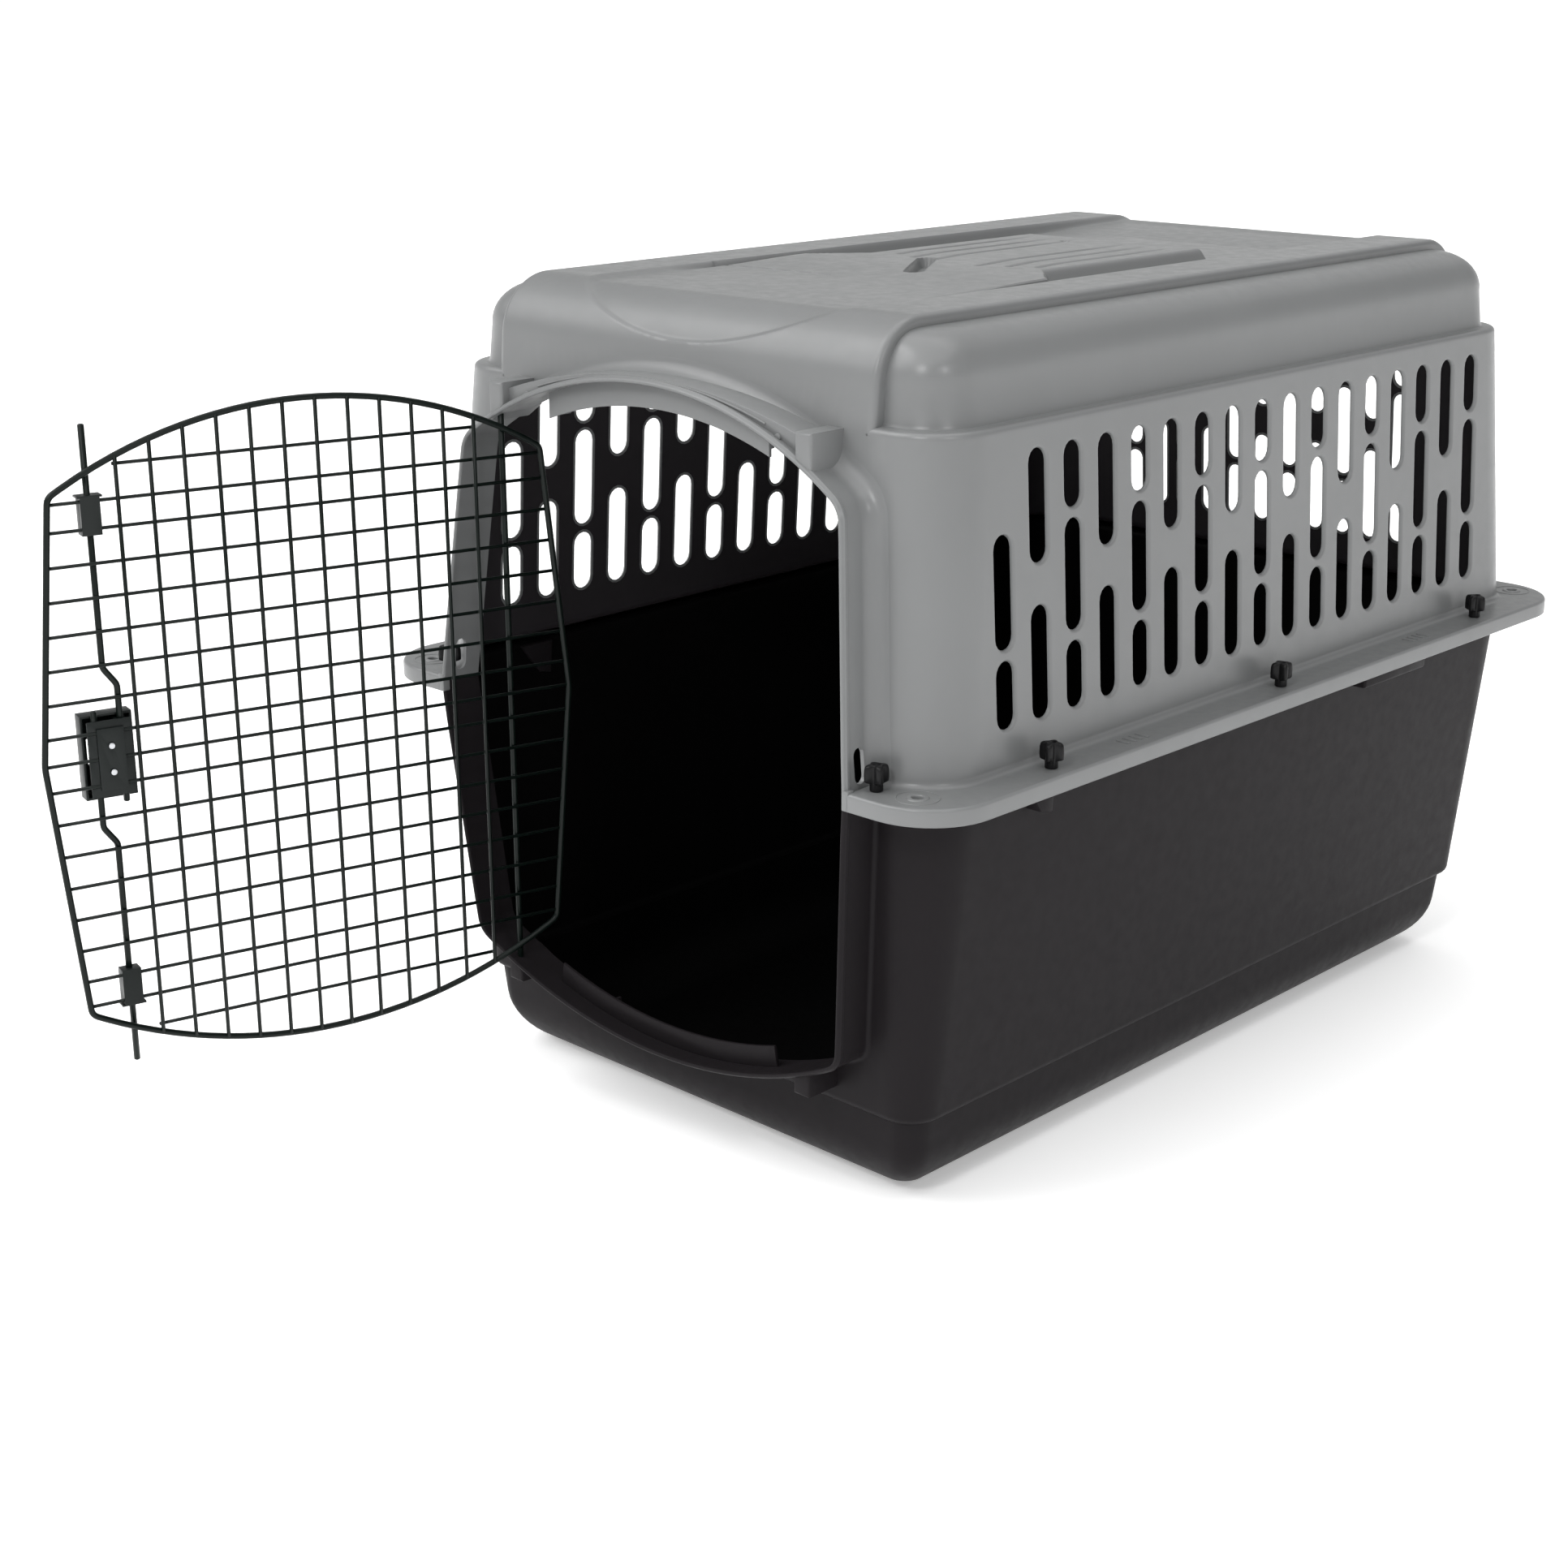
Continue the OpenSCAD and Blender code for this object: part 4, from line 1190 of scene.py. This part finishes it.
def make_door_wires():
    skin = Skin()
    tube(skin, swung(frame_path()), FRAME_R, 16, closed=True)
    obj = wire_piece("frame_wire", skin, "door")
    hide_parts("door_frame")

    skin = Skin()
    for x in UPRIGHTS:
        low = arc_z(x, LOW_BOW, FRAME_LOW[2], -1)
        high = arc_z(x, TOP_BOW, FRAME_TOP[2])
        tube(skin, swung([(x, UPRIGHT_Y, z) for z in steps(low, high, 3)]), UPRIGHT_R)
    obj = wire_piece("upright_wires", skin, "door")
    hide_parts("door_upright_wires")

    skin = Skin()
    for k, level in enumerate(LEVELS):
        for s in (1,) if k == 0 else (1, -1):
            z = MID_Z + s * level
            half = frame_half(z)
            left, right = END_CROSS if k == len(LEVELS) - 1 else (half, half)
            tube(skin, swung([(x, CROSS_Y, z) for x in steps(-left, right, 3)]), CROSS_R)
            for x in UPRIGHTS:
                weld_blob(skin, (x, (CROSS_Y + UPRIGHT_Y) / 2, z), WELD_R)
    obj = wire_piece("cross_wires", skin, "door")
    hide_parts("door_cross_wires")

    low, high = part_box("hinge_rod")
    skin = Skin()
    tube(skin, [(HINGE[0], HINGE[1], z) for z in steps(low[2] / MM, high[2] / MM, 4)], ROD_R, 16)
    for level in HINGE_WELDS:
        z = MID_Z + math.copysign(LEVELS[abs(level)], level)
        weld_blob(skin, (-ROD_X, (ROD_Y + CROSS_Y) / 2, z), HINGE_WELD_R)
    obj = wire_piece("hinge_wire", skin, "door")
    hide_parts("hinge_rod")


JOG = 10.0
JOG_Z = 66.0
JOG_BEND = 9


def make_latch_rods():
    """The two squeeze rods, each stepped sideways to pass the other inside the latch."""
    for up, word in ((1, "upper"), (-1, "lower")):
        low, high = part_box(f"latch_rod_{word}")
        tip = (high if up > 0 else low)[2] / MM
        end = (low if up > 0 else high)[2] / MM
        inner = ROD_X - up * JOG
        jog = MID_Z + up * JOG_Z
        corners = [(ROD_X, tip), (ROD_X, jog + up * 4), (inner, jog - up * 10), (inner, end)]
        flat = [corners[0]] + fillet(*corners[:3], JOG_BEND, 5)
        flat += fillet(*corners[1:], JOG_BEND, 5) + [corners[3]]
        skin = Skin()
        tube(skin, swung([(x, ROD_Y, z) for x, z in flat]), ROD_R, 16)
        obj = wire_piece(f"latch_wire_{word}", skin, f"latch_{word}")
        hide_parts(f"latch_rod_{word}")


make_door_wires()
make_latch_rods()

# ---------------------------------------------------------------- small moulded parts


def softened(node, name, material, body, slot, width):
    """Finished copy of a small CAD part: flat faces merged and every sharp edge rounded."""
    bm = bmesh.new()
    bm.from_mesh(frame["nodes"][node].data)
    bmesh.ops.remove_doubles(bm, verts=bm.verts[:], dist=WELD / 4)
    bmesh.ops.dissolve_limit(bm, angle_limit=math.radians(1.0), verts=bm.verts[:], edges=bm.edges[:])
    bmesh.ops.recalc_face_normals(bm, faces=bm.faces[:])
    sharp = [e for e in bm.edges if len(e.link_faces) == 2 and e.calc_face_angle(0.0) > math.radians(35)]
    bmesh.ops.bevel(bm, geom=sharp, offset=width * MM, segments=2, affect="EDGES", profile=0.5,
                    clamp_overlap=True)
    obj = mesh_object(name, bm, [material], body, 35)
    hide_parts(node)


SMALL = [
    ("latch_casing", "latch_back", LATCH_BLACK, "door", "latch_plastic", 0.9),
    ("latch_cover", "latch_plate", LATCH_BLACK, "door", "latch_plastic", 0.45),
    ("latch_slider_upper", "finger_tab_upper", LATCH_BLACK, "latch_upper", "latch_plastic", 0.5),
    ("latch_slider_lower", "finger_tab_lower", LATCH_BLACK, "latch_lower", "latch_plastic", 0.5),
    ("rod_guide_upper", "rod_clip_upper", LATCH_BLACK, "door", "latch_plastic", 0.6),
    ("rod_guide_lower", "rod_clip_lower", LATCH_BLACK, "door", "latch_plastic", 0.6),
    ("latch_screws", "cover_screws", ZINC, "door", "zinc_steel", 0.25),
    ("shell_bolts", "flange_bolts", ZINC, "kennel", "zinc_steel", 0.5),
]
for entry in SMALL:
    softened(*entry)


def make_spring(word):
    """Spring in the casing, taken over from its CAD part with a mesh of its own."""
    bm = bmesh.new()
    bm.from_mesh(frame["nodes"][f"latch_spring_{word}"].data)
    obj = mesh_object(f"spring_{word}", bm, [ZINC], "door", 60)
    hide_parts(f"latch_spring_{word}")
    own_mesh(obj)


make_spring("upper")
make_spring("lower")


# ---------------------------------------------------------------- studio

FLOOR_FAR = 55.0
FLOOR_Z = -0.0005


def make_floor():
    mat, tree, bsdf = node_tree("floor_paint")
    place = add(tree, "ShaderNodeTexCoord")
    tone = remap(tree, noise(tree, place, 3.0, 3.0), 0.0, 1.0)
    paint = blend_colour(tree, tone, (0.93, 0.93, 0.93), (0.95, 0.95, 0.95))
    tree.links.new(paint, bsdf.inputs["Base Color"])
    bsdf.inputs["Roughness"].default_value = 0.9
    bsdf.inputs["Specular IOR Level"].default_value = 0.1
    bsdf.inputs["Emission Color"].default_value = (1.0, 1.0, 1.0, 1.0)
    bsdf.inputs["Emission Strength"].default_value = 0.3
    mesh = bpy.data.meshes.new("floor")
    corners = ((-1, -1), (1, -1), (1, 1), (-1, 1))
    mesh.from_pydata([(x * FLOOR_FAR, y * FLOOR_FAR, FLOOR_Z) for x, y in corners], [], [(0, 1, 2, 3)])
    mesh.materials.append(mat)
    obj = linked("floor", mesh)


def softbox(name, place, aim, size, power):
    """Rectangular lamp at a place, turned towards aim."""
    data = bpy.data.lights.new(name, "AREA")
    data.shape = "RECTANGLE"
    data.size, data.size_y = size
    data.energy = power
    obj = linked(name, data)
    obj.location = place
    obj.rotation_euler = (Vector(aim) - Vector(place)).to_track_quat("-Z", "Y").to_euler()


def sun(name, bearing, height, strength, spread):
    """Even light from a bearing and height in degrees; bearing 0 is the front, 90 the right."""
    data = bpy.data.lights.new(name, "SUN")
    data.energy = strength
    data.angle = math.radians(spread)
    obj = linked(name, data)
    a, b = math.radians(bearing), math.radians(height)
    way = Vector((math.sin(a) * math.cos(b), -math.cos(a) * math.cos(b), math.sin(b)))
    obj.rotation_euler = way.to_track_quat("Z", "Y").to_euler()


def make_light():
    """Pale surround that is brightest low down, even light from above and two soft lamps."""
    world = bpy.data.worlds.new("studio")
    bpy.context.scene.world = world
    world.use_nodes = True
    tree = world.node_tree
    place = add(tree, "ShaderNodeTexCoord")
    split = add(tree, "ShaderNodeSeparateXYZ")
    tree.links.new(place.outputs["Generated"], split.inputs["Vector"])
    level = remap(tree, split.outputs["Z"], 1.05, 0.36, at=(0.05, 0.22))
    tree.links.new(level, tree.nodes["Background"].inputs["Strength"])
    tree.nodes["Background"].inputs["Color"].default_value = (1.0, 1.0, 1.0, 1.0)
    sun("above", -30, 80, 1.9, 80)
    sun("front_left", -45, 42, 1.35, 45)
    sun("behind", 200, 50, 0.3, 60)
    middle = (0.1, -0.2, 0.6)
    softbox("window_left", (1.0, -3.0, 2.4), middle, (0.45, 0.6), 26.0)
    softbox("window_right", (3.0, -1.3, 2.3), middle, (0.35, 0.5), 15.0)
    view = bpy.context.scene.view_settings
    view.view_transform = "Standard"
    view.look = "None"


make_floor()
make_light()
